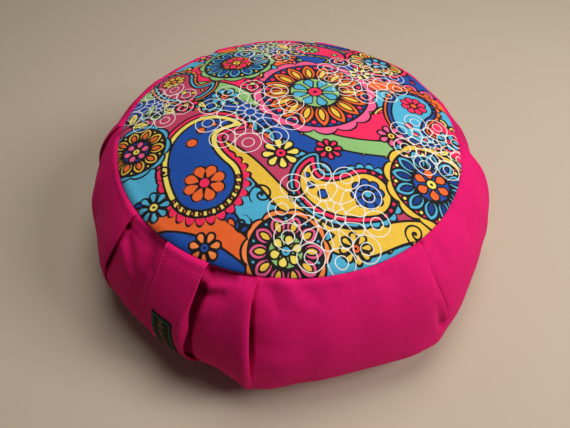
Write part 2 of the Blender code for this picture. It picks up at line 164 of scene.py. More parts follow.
# How far the strap holds the wall in, round the cushion and down the wall.
Turn = namedtuple("Turn", "azimuth depth")
DRAWN_IN = (
    Turn(190.0, 0.0),
    Turn(214.0, 0.0028),
    Turn(228.0, 0.0044),
    Turn(240.0, 0.0058),
    Turn(252.0, 0.0046),
    Turn(262.0, 0.0008),
    Turn(272.0, 0.0),
)
DRAWN_SHARE = (
    Depth(0.00, 0.00),
    Depth(0.10, 0.26),
    Depth(0.24, 0.62),
    Depth(0.45, 0.72),
    Depth(0.80, 0.90),
    Depth(1.10, 1.00),
    Depth(1.60, 0.70),
    Depth(2.00, 0.00),
)
# How far the top seam itself lies out of its circle. The crown follows it by a power of the radius,
# and the wall down to a drop.
SEAM_TURNS = (
    Turn(0.0, 0.0),
    Turn(22.0, 0.0030),
    Turn(42.0, 0.0052),
    Turn(62.0, 0.0036),
    Turn(88.0, 0.0010),
    Turn(118.0, -0.0012),
    Turn(140.0, -0.0036),
    Turn(162.0, -0.0016),
    Turn(184.0, 0.0),
    Turn(360.0, 0.0),
)
SEAM_TURN_POWER = 3
SEAM_TURN_DROP = 0.5

# The strap's way down the wall: its middle's azimuth, and the lift of its outer face at its edges.
Strap = namedtuple("Strap", "drop azimuth left right")
STRAP_PATH = (
    Strap(0.00, 240.1, 0.0014, 0.0014),
    Strap(0.20, 240.0, 0.0026, 0.0044),
    Strap(0.45, 239.6, 0.0025, 0.0059),
    Strap(0.65, 238.2, 0.0024, 0.0068),
    Strap(0.85, 237.9, 0.0024, 0.0055),
    Strap(1.10, 238.7, 0.0026, 0.0042),
    Strap(1.50, 239.9, 0.0020, 0.0025),
    Strap(2.00, 240.2, 0.0, 0.0),
)

# The hollow that starts under the strap's right edge: its depth, and how far on the wall is up again.
Hollow = namedtuple("Hollow", "drop depth rise")
HOLLOWS = (
    Hollow(0.00, 0.0, 0.0060),
    Hollow(0.16, 0.0030, 0.0060),
    Hollow(0.27, -0.0012, 0.0060),
    Hollow(0.42, 0.0085, 0.0070),
    Hollow(0.65, 0.0088, 0.0105),
    Hollow(0.85, 0.0065, 0.0075),
    Hollow(1.10, 0.0012, 0.0060),
    Hollow(1.40, 0.0, 0.0060),
    Hollow(2.00, 0.0, 0.0060),
)
HOLLOW_START = 0.62
HOLLOW_DISTANCE = 0.0010
# The painted shade in the hollow: the depth that counts as full shade, the most of that which it takes, how
# far it goes on beside the strap, and how far under it.
HOLLOW_DEEPEST = 0.0088
HOLLOW_DARKEST = 0.6
HOLLOW_SHADE = 0.0035
HOLLOW_UNDER = 0.02
# The most painted shade that a crease gets, and the steepness from which on it gets it.
CREASE_SHADE = 0.7
CREASE_OPEN = 0.3
# Creases grow over this width, from this far inside the strap's edges.
CREASE_GROWTH = 0.003
CREASE_INSIDE = 0.001
# How soon the wall is up again beside the strap's left edge.
SEAT_RISE = 0.004
# How much wider than the strap the room is that the wall leaves it on the floor, as a share of it.
STRAP_ROOM = 0.05

# ----------------------------------------
# Finer form of the cloth, as it shows from near by.

# The section across a fold. Along is the distance past the pleat's line, with mouth times the
# pleat's mouth on top, less under times the tuck. Ridge and sink are shares of the pleat's ridge and
# recess, and rise is how far the next panel has come up again to its valley.
FoldPoint = namedtuple("FoldPoint", "along mouth under ridge sink rise", defaults=(0.0,) * 6)
FOLD = (
    FoldPoint(along=-0.0090, ridge=0.900),
    FoldPoint(along=-0.0050, ridge=1.000),
    FoldPoint(along=-0.0018, ridge=0.975),
    FoldPoint(along=-0.0004, ridge=0.900, sink=0.02),
    FoldPoint(along=0.0002, ridge=0.780, sink=0.08),
    FoldPoint(under=0.12, ridge=0.650, sink=0.17),
    FoldPoint(under=0.60, ridge=0.400, sink=0.32),
    FoldPoint(under=1.00, ridge=0.180, sink=0.55),
    FoldPoint(under=0.95, ridge=0.040, sink=0.82),
    FoldPoint(mouth=0.0004, under=0.45, sink=0.98),
    FoldPoint(mouth=0.0016, sink=1.00, rise=0.08),
    FoldPoint(mouth=0.0036, sink=1.00, rise=0.60),
    FoldPoint(mouth=0.0070, sink=1.00, rise=0.92),
    FoldPoint(mouth=0.0110, sink=1.00, rise=1.00),
)
# A gaping fold's reach along the drop, its extra depth and its wider mouth.
POCKET_LENGTH = 0.045
POCKET_DEPTH = 0.0034
POCKET_MOUTH = 0.45
# The distance over which a fold's step starts under the seam.
FOLD_START = 0.004
# Columns of the mesh between the points of a fold and between the stations of a panel.
FOLD_STEPS = 2
DEEPEST_FOLD_POINT = 7
SHORTEST_CHORD = 1e-6
PANEL_STEPS = (16, 30, 18, 12)
STRAP_PANEL_STEPS = (24, 44, 26, 16)
# A panel's last station before its ridge, across it and on the way up to that ridge.
PANEL_RISE = 0.85
PANEL_RISE_SHARE = 0.59

# Soft troughs and ridges in the side wall, from a start to an end, with their height at each. The
# last column is the painted shade that one has of itself, besides the painted shade that its steepness gives
# it.
Crease = namedtuple("Crease", "start_azimuth start_drop end_azimuth end_drop width start end dark",
                    defaults=(0.0,))
CREASES = (
    # Beside the left pleat: soft rolls and troughs, and the valley along the strap.
    Crease(222.8, 0.24, 227.6, 0.52, 0.0046, 0.0003, 0.0009),
    Crease(219.6, 0.48, 224.5, 0.60, 0.0045, 0.0020, 0.0014),
    Crease(220.2, 0.38, 223.0, 0.46, 0.0034, -0.0018, -0.0010),
    Crease(227.3, 0.20, 230.4, 0.45, 0.0042, -0.0018, -0.0022),
    Crease(230.4, 0.50, 229.6, 0.68, 0.0046, -0.0016, -0.0012),
    Crease(217.6, 0.95, 218.2, 1.15, 0.0060, -0.0012, -0.0014),
    # The sunken side between the left pleat and the strap, the last two with painted shade.
    Crease(223.5, 0.17, 233.8, 0.19, 0.0070, -0.0016, -0.0034),
    Crease(229.0, 0.34, 228.0, 0.85, 0.0100, -0.0022, -0.0024, dark=0.14),
    Crease(226.5, 0.26, 230.0, 0.24, 0.0110, -0.0010, -0.0010, dark=0.30),
    # The roll beside the front pleat's edge, low on the wall.
    Crease(259.2, 0.72, 259.6, 1.15, 0.0045, 0.0008, 0.0020),
    Crease(255.8, 0.74, 256.6, 1.10, 0.0055, -0.0008, -0.0014),
    # The pull between the strap and the next pleat, three of them with painted shade.
    Crease(246.4, 0.205, 253.0, 0.150, 0.0040, -0.0022, -0.0010, dark=0.15),
    Crease(246.5, 0.105, 259.0, 0.085, 0.0060, -0.0046, -0.0036),
    Crease(246.4, 0.275, 254.8, 0.165, 0.0034, -0.0030, -0.0010, dark=0.50),
    Crease(247.0, 0.350, 256.0, 0.250, 0.0036, 0.0008, 0.0004),
    Crease(245.6, 0.435, 252.0, 0.350, 0.0038, -0.0034, -0.0012, dark=0.35),
    Crease(248.5, 0.550, 258.5, 0.330, 0.0050, 0.0010, 0.0006),
    Crease(251.0, 0.85, 251.5, 1.20, 0.0120, -0.0014, -0.0030),
    # Under the seam on the front panel.
    Crease(262.9, 0.10, 267.0, 0.40, 0.0045, -0.0012, -0.0008),
    Crease(267.6, 0.06, 272.0, 0.36, 0.0050, 0.0009, 0.0006),
    Crease(271.5, 0.06, 277.0, 0.34, 0.0055, -0.0010, -0.0006),
    Crease(282.0, 0.05, 285.0, 0.30, 0.0060, 0.0008, 0.0004),
    Crease(294.0, 0.04, 296.0, 0.28, 0.0070, -0.0010, -0.0004),
    Crease(265.0, 0.95, 271.0, 1.12, 0.0120, -0.0020, -0.0018),
    Crease(287.0, 1.00, 298.0, 1.05, 0.0160, 0.0012, 0.0020),
    # Beside the right front pleat.
    Crease(306.8, 0.66, 308.7, 0.87, 0.0040, -0.0006, -0.0040),
    Crease(303.0, 1.00, 307.0, 1.08, 0.0140, 0.0034, 0.0034),
    Crease(312.4, 0.10, 314.4, 0.50, 0.0050, -0.0012, -0.0006),
    # Right side and back.
    Crease(326.0, 0.05, 329.0, 0.45, 0.0080, -0.0012, -0.0012),
    Crease(341.0, 0.75, 341.0, 1.00, 0.0120, -0.0008, -0.0008),
    Crease(347.0, 0.60, 347.0, 0.86, 0.0120, -0.0018, -0.0018),
    Crease(340.0, 0.05, 338.0, 0.50, 0.0080, 0.0010, 0.0010),
    Crease(352.0, 0.20, 349.0, 0.50, 0.0080, -0.0010, -0.0014),
    # Painted shade on the wall just past the right back pleat.
    Crease(4.0, 0.20, 18.0, 0.70, 0.0170, -0.0004, -0.0004, dark=0.36),
    Crease(20.0, 0.05, 17.0, 0.50, 0.0120, 0.0006, 0.0006),
    Crease(8.0, 0.42, 7.0, 0.72, 0.0140, 0.0012, 0.0014),
    Crease(32.0, 0.15, 30.0, 0.50, 0.0150, -0.0012, -0.0012),
    Crease(60.0, 0.05, 58.0, 0.45, 0.0080, 0.0008, 0.0008),
    Crease(81.5, 0.12, 89.0, 0.50, 0.0050, -0.0020, -0.0012),
    Crease(103.0, 0.05, 101.0, 0.50, 0.0080, 0.0008, 0.0008),
    Crease(123.5, 0.12, 131.0, 0.50, 0.0050, -0.0024, -0.0014),
    Crease(150.0, 0.05, 152.0, 0.50, 0.0080, 0.0010, 0.0010),
    Crease(171.0, 0.12, 170.0, 0.42, 0.0120, -0.0018, -0.0024),
    Crease(180.5, 0.12, 187.0, 0.50, 0.0050, -0.0024, -0.0014),
    Crease(194.0, 0.70, 195.0, 1.00, 0.0120, 0.0014, 0.0010),
    Crease(203.0, 0.05, 201.0, 0.50, 0.0080, 0.0010, 0.0010),
)


def srgb(code):
    """A linear colour from its sRGB hex code."""
    values = [int(code[k:k + 2], 16) / 255 for k in (1, 3, 5)]
    return tuple(v / 12.92 if v <= 0.04045 else ((v + 0.055) / 1.055) ** 2.4 for v in values)


def eased(share):
    """Ease from 0 to 1 with level ends."""
    share = np.clip(share, 0.0, 1.0)
    return share * share * (3 - 2 * share)


def profile(drop):
    """Radius and height of the side wall's mean surface at a drop."""
    turn = np.clip(drop, 0.0, 1.0) * math.pi / 2
    under = np.clip(drop - 1.0, 0.0, 1.0) * math.pi / 2
    upper = SEAM_RADIUS + (BELLY_RADIUS - SEAM_RADIUS) * np.sin(turn) ** SHOULDER_POWER
    lower = BASE_RADIUS + (BELLY_RADIUS - BASE_RADIUS) * np.maximum(np.cos(under), 0) ** UNDER_POWER
    high = BELLY_HEIGHT + (SEAM_HEIGHT - BELLY_HEIGHT) * np.cos(turn)
    low = FLOOR_CLEARANCE + (BELLY_HEIGHT - FLOOR_CLEARANCE) * (1 - np.sin(under))
    return np.where(drop <= 1, upper, lower), np.where(drop <= 1, high, low)


def outward(drop):
    """Direction out of the wall at a drop, as its radial and its upward part."""
    step = 0.01
    above = profile(np.maximum(drop - step, 0.0))
    below = profile(np.minimum(drop + step, 2.0))
    along_radius, along_height = below[0] - above[0], below[1] - above[1]
    length = np.hypot(along_radius, along_height)
    return -along_height / length, along_radius / length


def tilted(radius, azimuth, height):
    """Points of the cushion, whose top leans down to the right, along the last axis."""
    x = radius * np.cos(np.radians(azimuth))
    y = radius * np.sin(np.radians(azimuth))
    lean = math.tan(math.radians(TOP_TILT)) * x
    return np.stack([x, y, height + lean * np.clip(height / SEAM_HEIGHT, 0, 1)], axis=-1)


def read(table, place, column, along="drop"):
    """A column of a table at places along it, eased between its rows."""
    stations = np.array([getattr(row, along) for row in table])
    values = np.array([getattr(row, column) for row in table])
    place = np.clip(place, stations[0], stations[-1])
    low = np.clip(np.searchsorted(stations, place) - 1, 0, len(stations) - 2)
    mix = eased((place - stations[low]) / (stations[low + 1] - stations[low]))
    return values[low] + (values[low + 1] - values[low]) * mix


def read_smooth(table, place, column):
    """A column of a table of drops, on a smooth curve through its rows."""
    stations = np.array([row.drop for row in table])
    values = np.array([getattr(row, column) for row in table])
    after = np.minimum(np.arange(len(table)) + 1, len(table) - 1)
    before = np.maximum(np.arange(len(table)) - 1, 0)
    slopes = (values[after] - values[before]) / (stations[after] - stations[before])
    place = np.clip(place, stations[0], stations[-1])
    low = np.clip(np.searchsorted(stations, place) - 1, 0, len(stations) - 2)
    step = stations[low + 1] - stations[low]
    return hermite(values[low], slopes[low], values[low + 1], slopes[low + 1], step,
                   (place - stations[low]) / step)


def hermite(start, start_slope, end, end_slope, step, share):
    """A cubic from start to end with given slopes, over a step."""
    square, cube = share ** 2, share ** 3
    return ((2 * cube - 3 * square + 1) * start + (cube - 2 * square + share) * step * start_slope
            + (3 * square - 2 * cube) * end + (cube - square) * step * end_slope)


def fullness(drop):
    """How far folds stand open: nothing at the two seams, all at the belly."""
    return np.sin(math.pi * np.clip(drop, 0.0, 2.0) / 2) ** FULLNESS_POWER


def crown_height(radius):
    """Height of the domed top at a radius."""
    return SEAM_HEIGHT + CROWN_RISE * (1 - (radius / SEAM_RADIUS) ** CROWN_POWER)


def seam_out(azimuth, radius):
    """How far a point of the crown moves out with the seam."""
    turn = read(SEAM_TURNS, azimuth % 360, "depth", along="azimuth")
    return turn * (radius / SEAM_RADIUS) ** SEAM_TURN_POWER


def drawn_in(azimuth, drop):
    """How far the strap holds the wall in."""
    depth = read(DRAWN_IN, azimuth % 360, "depth", along="azimuth")
    return depth * read(DRAWN_SHARE, drop, "share")


def degrees_along(distance, drop):
    """The azimuth that a distance along the wall takes up at a drop."""
    return np.degrees(distance / profile(drop)[0])


# ----------------------------------------
# Distances down the wall, and the rows of its mesh.

PROFILE_POINTS = 1201
LONG_DROPS = np.linspace(0, 2, PROFILE_POINTS)
LONG_RADII, LONG_HEIGHTS = profile(LONG_DROPS)
LONG_STEPS = np.hypot(np.diff(LONG_RADII), np.diff(LONG_HEIGHTS))
LONG_DISTANCES = np.concatenate([[0.0], np.cumsum(LONG_STEPS)])
SEAM_ROWS = (0.0, 0.0004, 0.0008, 0.0013, 0.0019, 0.0026, 0.0035, 0.0046)
UPPER_ROW_STEP = 0.0017
LOWER_ROW_STEP = 0.0032
LOWER_ROWS_START = 1.12


def distance_down(drop):
    """Distance from the top seam down the wall to a drop."""
    return np.interp(drop, LONG_DROPS, LONG_DISTANCES)


def drop_at(distance):
    """Drop at a distance from the top seam."""
    return np.interp(distance, LONG_DISTANCES, LONG_DROPS)


def wall_drops():
    """The rows of the side wall, close together at the seam and wider below the belly."""
    turn = distance_down(LOWER_ROWS_START)
    upper = np.arange(SEAM_ROWS[-1] + UPPER_ROW_STEP, turn, UPPER_ROW_STEP)
    count = round((LONG_DISTANCES[-1] - turn) / LOWER_ROW_STEP)
    lower = np.linspace(turn, LONG_DISTANCES[-1], count)
    return drop_at(np.concatenate([SEAM_ROWS, upper, lower]))


# ----------------------------------------
# The pleats.

def pleat_azimuth(pleat, drop):
    """Azimuth of a pleat's line at a drop."""
    upper = pleat.seam + (pleat.shoulder - pleat.seam) * eased(drop / SHOULDER_DROP)
    below = eased((drop - SHOULDER_DROP) / (1 - SHOULDER_DROP))
    return np.where(drop < SHOULDER_DROP, upper, pleat.shoulder + (pleat.belly - pleat.shoulder) * below)


def fold_controls(pleat, drop, turn):
    """Distance round the wall, lift and painted shade of the points across a fold, for each row."""
    share = read(RECESS_DEPTH, drop, "share")
    gape = np.exp(-((drop - pleat.pocket) / POCKET_LENGTH) ** 2) * (pleat.pocket > 0)
    step = pleat.start * (1 - np.exp(-distance_down(drop) / FOLD_START)) * read(STEP_LEFT, drop, "share")
    ridge = pleat.ridge * read_smooth(RIDGE_HEIGHT, drop, "share") + step
    recess = pleat.recess * share + POCKET_DEPTH * gape
    mouth = pleat.mouth + POCKET_MOUTH * gape
    tuck = pleat.tuck * np.maximum(share, gape) + step
    low = pleat.low * read(LOW_EDGE, drop, "share")
    opened = np.maximum(read(FOLD_OPEN, drop, "share"), low)
    # Painted shade in the fold's hollow, as far as the recess, a gaping pocket or an edge below the belly
    # reaches.
    dark = np.maximum(np.maximum(share, gape), low)
    line = np.radians(pleat_azimuth(pleat, drop) + turn) * profile(drop)[0]
    controls = []
    for point in FOLD:
        lift = ridge * (1 - (1 - point.ridge) * opened)
        lift = lift - recess * (point.sink - (1 - pleat.valley) * point.rise)
        along = point.along + point.mouth * mouth - point.under * tuck
        controls.append((line + along, lift, dark * point.sink * (1 - point.rise)))
    return controls


def panel_controls(first, last, start, end, drop):
    """The stations across a panel, from the fold that it starts under to its own ridge."""
    full = fullness(drop)
    middle = first.middle * full
    ridge = last.ridge * read_smooth(RIDGE_HEIGHT, drop, "share")
    stations = (
        (first.reach, (first.middle + PANEL_SWELL) * full),
        (PANEL_MIDDLE, middle),
        (PANEL_RISE, middle + PANEL_RISE_SHARE * (ridge - middle)),
    )
    return [(start + (end - start) * share, lift, 0 * lift) for share, lift in stations]


def wall_section(drop):
    """The wall's section at each row, and the column of each fold's deepest point.

    The section is rows by columns by three: the distance round, the lift and the painted shade.
    """
    controls, steps, deepest = [], [], []
    for index, first in enumerate(PLEATS):
        last = PLEATS[(index + 1) % len(PLEATS)]
        turn = 360.0 if index == len(PLEATS) - 1 else 0.0
        fold = fold_controls(first, drop, 0.0)
        deepest.append(sum(steps) + DEEPEST_FOLD_POINT * FOLD_STEPS)
        end = fold_controls(last, drop, turn)[0][0]
        controls += fold + panel_controls(first, last, fold[-1][0], end, drop)
        steps += [FOLD_STEPS] * (len(FOLD) - 1)
        steps += STRAP_PANEL_STEPS if index == STRAP_PANEL else PANEL_STEPS
    points = np.stack([np.stack(pair, axis=-1) for pair in controls], axis=1)
    around = 2 * math.pi * profile(drop)[0]
    shift = np.stack([around, 0 * around, 0 * around], axis=-1)[:, None, :]
    ring = np.concatenate([points[:, -1:] - shift, points, points[:, :2] + shift], axis=1)
    chords = np.linalg.norm(np.diff(ring, axis=1)[..., :2], axis=-1, keepdims=True)
    chords = np.maximum(chords, SHORTEST_CHORD)
    before, after = chords[:, :-1], chords[:, 1:]
    rates = np.diff(ring, axis=1) / chords
    slopes = (rates[:, :-1] * after + rates[:, 1:] * before) / (before + after)
    columns = []
    for k, count in enumerate(steps):
        share = (np.arange(count) / count)[None, :, None]
        columns.append(hermite(ring[:, k + 1:k + 2], slopes[:, k:k + 1], ring[:, k + 2:k + 3],
                               slopes[:, k + 1:k + 2], after[:, k:k + 1], share))
    return np.concatenate(columns, axis=1), deepest


# ----------------------------------------
# What the strap, the seams and loose creases do to the wall.

def strap_azimuth(across, drop):
    """Azimuth on the strap, from its left edge (0) to its right edge (1)."""
    return read_smooth(STRAP_PATH, drop, "azimuth") + degrees_along(STRAP_WIDTH * (across - 0.5), drop)


def strap_across(azimuth, drop):
    """Place across the strap of an azimuth, 0 at its left edge and 1 at its right edge."""
    away = (azimuth - read_smooth(STRAP_PATH, drop, "azimuth") + 180) % 360 - 180
    return np.radians(away) * profile(drop)[0] / STRAP_WIDTH + 0.5


def strap_lift(across, drop):
    """Lift of the strap's outer face."""
    left = read_smooth(STRAP_PATH, drop, "left")
    return left + (read_smooth(STRAP_PATH, drop, "right") - left) * across


def pressed_by_strap(azimuth, drop, lift):
    """The wall's lift where the strap lies on it, and in the hollow that starts under its right edge."""
    across = strap_across(azimuth, drop)
    beside_left = -across * STRAP_WIDTH
    beside_right = (across - 1) * STRAP_WIDTH
    inside = np.clip(across, 0, 1)
    seat = strap_lift(inside, drop) - STRAP_THICKNESS - GAP
    seat = np.where(across < 0.5, np.minimum(seat, lift), seat)
    hollow = np.minimum(-read(HOLLOWS, drop, "depth"), seat)
    floor = seat + (hollow - seat) * eased((across - HOLLOW_START) / (1 - HOLLOW_START))
    rise = read(HOLLOWS, drop, "rise")
    right = floor + (lift - floor) * eased((beside_right - HOLLOW_DISTANCE) / rise)
    left = seat + (lift - seat) * eased(beside_left / SEAT_RISE)
    pressed = np.where(across < 0.5, left, right)
    near = (beside_left < SEAT_RISE) & (beside_right < HOLLOW_DISTANCE + rise)
    return np.where(near, pressed, lift)


def painted_shade_beside_strap(azimuth, drop):
    """Painted shade in the hollow that starts under the strap's right edge, from 0 to 1, by how deep the
    wall lies there.
    """
    beside_right = (strap_across(azimuth, drop) - 1) * STRAP_WIDTH
    depth = np.clip(read(HOLLOWS, drop, "depth") / HOLLOW_DEEPEST, 0, HOLLOW_DARKEST)
    fading = np.exp(-(np.maximum(beside_right - HOLLOW_DISTANCE, 0) / HOLLOW_SHADE) ** 2)
    return depth * fading * (beside_right > -HOLLOW_UNDER)


def beside_strap(azimuth, drop):
    """0 under the strap and 1 clear of it."""
    across = strap_across(azimuth, drop)
    outside = np.abs(across - 0.5) * STRAP_WIDTH - STRAP_WIDTH / 2
    return eased((outside + CREASE_INSIDE) / CREASE_GROWTH)


def crease_lift(azimuth, drop):
    """The sum of the listed creases, and the painted shade of the narrow ones and of those that carry their
    own.
    """
    down = distance_down(drop)
    total, depth = np.zeros(down.shape), np.zeros(down.shape)
    for crease in CREASES:
        middle = (crease.start_azimuth + crease.end_azimuth) / 2
        radius, _ = profile((crease.start_drop + crease.end_drop) / 2)
        arc = np.radians((azimuth - middle + 180) % 360 - 180) * radius
        half = math.radians(crease.end_azimuth - middle) * radius
        above, below = distance_down(crease.start_drop), distance_down(crease.end_drop)
        length = math.hypot(2 * half, below - above)
        along_arc, along_down = 2 * half / length, (below - above) / length
        along = (arc + half) * along_arc + (down - above) * along_down
        aside = (arc + half) * along_down - (down - above) * along_arc
        share = np.clip(along / length, 0, 1)
        away = np.hypot(aside, along - share * length)
        height = crease.start + (crease.end - crease.start) * share
        lift = height * np.exp(-(away / crease.width) ** 2)
        total += lift
        # Painted shade: steep, narrow troughs darken the cloth, and so does a crease's own listed shade.
        depth = np.maximum(depth, CREASE_SHADE * (-lift / crease.width - CREASE_OPEN))
        depth = np.maximum(depth, crease.dark * np.exp(-(away / crease.width) ** 2))
    return total, np.clip(depth, 0, CREASE_SHADE)


# Waves round the wall: the seed of their draws, their turns, how far they lean, and their number.
Waves = namedtuple("Waves", "seed turns slant count")
GATHERS = Waves(seed=7, turns=(90, 150), slant=60.0, count=9)
FILLING = Waves(seed=3, turns=(5, 34), slant=50.0, count=14)
# The filling's waves take this share of the unevenness, over a distance from the seam, and fade
# from one drop on over another.
FILLING_SHARE = 0.55
FILLING_START = 0.02
FILLING_FADES = 1.4
FILLING_FADE = 0.5


def waves(azimuth, distance, kind):
    """A sum of waves with whole numbers of turns round the wall, between -1 and 1 or so."""
    random = np.random.default_rng(kind.seed)
    total = np.zeros(np.broadcast(azimuth, distance).shape)
    for _ in range(kind.count):
        number = random.integers(kind.turns[0], kind.turns[1] + 1)
        lean = random.uniform(-kind.slant, kind.slant)
        phase = random.uniform(0, 2 * math.pi)
        total += np.sin(np.radians(azimuth) * number + lean * distance + phase)
    return total / math.sqrt(kind.count)


def filling_waves(azimuth, distance, drop):
    """The slow waves that the loose filling leaves in the wall."""
    slow = waves(azimuth, distance, FILLING) * eased(distance / FILLING_START)
    return slow * (1 - eased((drop - FILLING_FADES) / FILLING_FADE))


# The seam's groove, the roll beside it and its gathers, all in distances from the seam.
GROOVE_WIDTH = 0.0016
GROOVE_POWER = 1.5
SEAM_ROLL_SHARE = 0.35
SEAM_ROLL_PLACE = 0.005
SEAM_ROLL_WIDTH = 0.003
GATHERS_START = 0.0012
GATHERS_LENGTH = 0.008


def seam_groove(distance, depth):
    """The fall of the cloth into a seam, with the full roll beside it."""
    fall = -depth * np.exp(-(distance / GROOVE_WIDTH) ** GROOVE_POWER)
    return fall + SEAM_ROLL_SHARE * depth * np.exp(-((distance - SEAM_ROLL_PLACE) / SEAM_ROLL_WIDTH) ** 2)


def seam_puckers(azimuth, distance, depth):
    """The small gathers that the stitches leave along a seam."""
    start = 1 - np.exp(-distance / GATHERS_START)
    return depth * waves(azimuth, distance, GATHERS) * np.exp(-distance / GATHERS_LENGTH) * start


def wall_points(azimuth, drop, lift, lowest=FLOOR_CLEARANCE):
    """Points lifted off the side wall, pressed flat where they meet the floor."""
    radius, height = profile(drop)
    out, up = outward(drop)
    lift = lift - drawn_in(azimuth, drop)
    moved = seam_out(azimuth, SEAM_RADIUS) * (1 - eased(drop / SEAM_TURN_DROP))
    points = tilted(radius + moved + lift * out, azimuth, height + lift * up)
    points[..., 2] = np.maximum(points[..., 2], lowest)
    return points


def least_height(azimuth, drop):
    """The wall's least height: over the strap where that passes between it and the floor."""
    across = strap_across(azimuth, drop)
    over = (across > -STRAP_ROOM) & (across < 1 + STRAP_ROOM)
    return np.where(over, FLOOR_CLEARANCE + STRAP_THICKNESS + GAP, FLOOR_CLEARANCE)


# ----------------------------------------
# Meshes.

def grid_faces(rows, columns, closed, first=0):
    """Four-sided faces between the rows of a grid of points."""
    row = np.arange(rows - 1)[:, None] * columns
    column = np.arange(columns if closed else columns - 1)[None, :]
    after = (column + 1) % columns
    faces = np.stack([row + column, row + columns + column, row + columns + after, row + after], axis=-1)
    return faces.reshape(-1, 4) + first


def add_mesh(name, points, faces, material):
    """Put a mesh in the scene under its name, shaded smooth."""
    data = bpy.data.meshes.new(name)
    data.from_pydata([tuple(p) for p in np.asarray(points).reshape(-1, 3)], [], [tuple(f) for f in faces])
    data.validate()
    data.shade_smooth()
    data.materials.append(material)
    thing = bpy.data.objects.new(name, data)
    bpy.context.collection.objects.link(thing)
    return thing


def add_turned_form(name, rows, centres, material):
    """A closed form of rings of points, with a middle point at its first and its last ring."""
    points = np.concatenate([rows.reshape(-1, 3), centres])
    columns = rows.shape[1]
    faces = grid_faces(len(rows), columns, closed=True).tolist()
    first, last = len(points) - 2, len(points) - 1
    last_ring = (len(rows) - 1) * columns
    for k in range(columns):
        after = (k + 1) % columns
        faces.append((first, k, after))
        faces.append((last, last_ring + after, last_ring + k))
    return add_mesh(name, points, faces, material)


def add_thin_sheet(name, outer, inner, material):
    """A closed sheet between two grids of points, an outer and an inner face."""
    loops = np.concatenate([outer, inner[:, ::-1]], axis=1)
    rows, columns = loops.shape[:2]
    faces = grid_faces(rows, columns, closed=True).tolist()
    last = (rows - 1) * columns
    for k in range(outer.shape[1] - 1):
        back = columns - 1 - k
        faces.append((k, k + 1, back - 1, back))
        faces.append((last + k, last + back, last + back - 1, last + k + 1))
    return add_mesh(name, loops, faces, material)


def add_places(thing, places):
    """Store each point's place on the flat cloth, in metres, for the weave to follow."""
    layer = thing.data.attributes.new("cloth", "FLOAT_VECTOR", "POINT")
    values = np.zeros((len(thing.data.vertices), 3), np.float32)
    flat = np.asarray(places).reshape(-1, 2)
    values[:len(flat), :2] = flat
    layer.data.foreach_set("vector", values.ravel())


def add_numbers(thing, name, numbers):
    """Store one number for each point."""
    layer = thing.data.attributes.new(name, "FLOAT", "POINT")
    values = np.zeros(len(thing.data.vertices), np.float32)
    values[:len(numbers)] = numbers
    layer.data.foreach_set("value", values)


def place_piece(thing, slot, *nodes):
    """Seat a finished piece on the part's body, with the solids that it stands for."""
    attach(thing, "root")
    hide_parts(*nodes)


# ----------------------------------------
# The print, in millimetres. The sizes inside a motif are shares of its own radius, size or length.

PRINT_COLOURS = {
    "royal": "#1a4fae", "sky": "#4fb5e0", "orange": "#f26a2e", "yellow": "#efc746",
    "lemon": "#f5e469", "mauve": "#c2406a", "pink": "#f0609a", "hot": "#fb2a63",
    "green": "#8fc47c", "navy": "#14398a", "apricot": "#ff8f48",
}
COLOUR_NAMES = list(PRINT_COLOURS)
FAR = 9.0
OUTLINE = 0.95
FLOWER_OUTLINE = 0.85
LEAF_OUTLINE = 0.8
THIN_OUTLINE = 0.72
VEIN_OUTLINE = 0.5

Place = namedtuple("Place", "x y turn")


SCALLOP_POWER = 0.6
PETAL_POINT = 0.4


class Print:
    """Colours, ink and fine line at each point of the cloth, painted from back to front."""

    def __init__(self, x, y):
        self.x, self.y = x, y
        self.colour = np.zeros(x.shape, int)
        self.ink = np.full(x.shape, FAR)
        self.fine = np.full(x.shape, FAR)

    def local(self, place):
        """The points in a motif's own frame."""
        turn = math.radians(place.turn)
        x, y = self.x - place.x, self.y - place.y
        return x * math.cos(turn) + y * math.sin(turn), y * math.cos(turn) - x * math.sin(turn)

    def fill(self, distance, colour, line=OUTLINE, where=True):
        """Fill where a distance is negative, and ink its edge."""
        inside = (distance < 0) & where
        edge = np.where(where, np.abs(distance) - line, FAR)
        self.colour[inside] = COLOUR_NAMES.index(colour)
        self.ink = np.where(inside, edge, np.minimum(self.ink, edge))

    def stroke(self, distance, line=OUTLINE, where=True):
        """Ink where a distance is near zero."""
        self.ink = np.minimum(self.ink, np.where(where, np.abs(distance) - line, FAR))

    def draw_fine(self, distance):
        """Add fine white line where a signed distance is near zero."""
        self.fine = np.where(np.abs(distance) < np.abs(self.fine), distance, self.fine)


def folded(x, y, count, offset=0.0):
    """Points folded into one of count equal sectors: along its middle, and across it."""
    sector = 2 * math.pi / count
    angle = np.arctan2(y, x) - offset * sector
    angle = (angle + sector / 2) % sector - sector / 2
    radius = np.hypot(x, y)
    return radius * np.cos(angle), radius * np.sin(angle)


def leaf(along, across, start, end, width):
    """Distance to a leaf with two points."""
    half, side = (end - start) / 2, width / 2
    bow = (half * half + side * side) / (2 * side)
    middle = along - (start + end) / 2
    offset = bow - side
    return np.maximum(np.hypot(middle, across + offset), np.hypot(middle, across - offset)) - bow


def petal(along, across, start, end, width):
    """Distance to a petal, narrow at its start and round at its end."""
    big, small = width / 2, PETAL_POINT
    length = end - start - big - small
    aside, ahead = np.abs(across), along - start - small
    lean = (small - big) / length
    rise = math.sqrt(1 - lean * lean)
    share = rise * ahead - lean * aside
    at_start = np.hypot(aside, ahead) - small
    at_end = np.hypot(aside, ahead - length) - big
    side = aside * rise + ahead * lean - small
    return np.where(share < 0, at_start, np.where(share > rise * length, at_end, side))


def scalloped(x, y, radius, count, depth):
    """Distance to a round with a scalloped edge."""
    edge = radius - depth + depth * np.abs(np.cos(np.arctan2(y, x) * count / 2)) ** SCALLOP_POWER
    return np.hypot(x, y) - edge


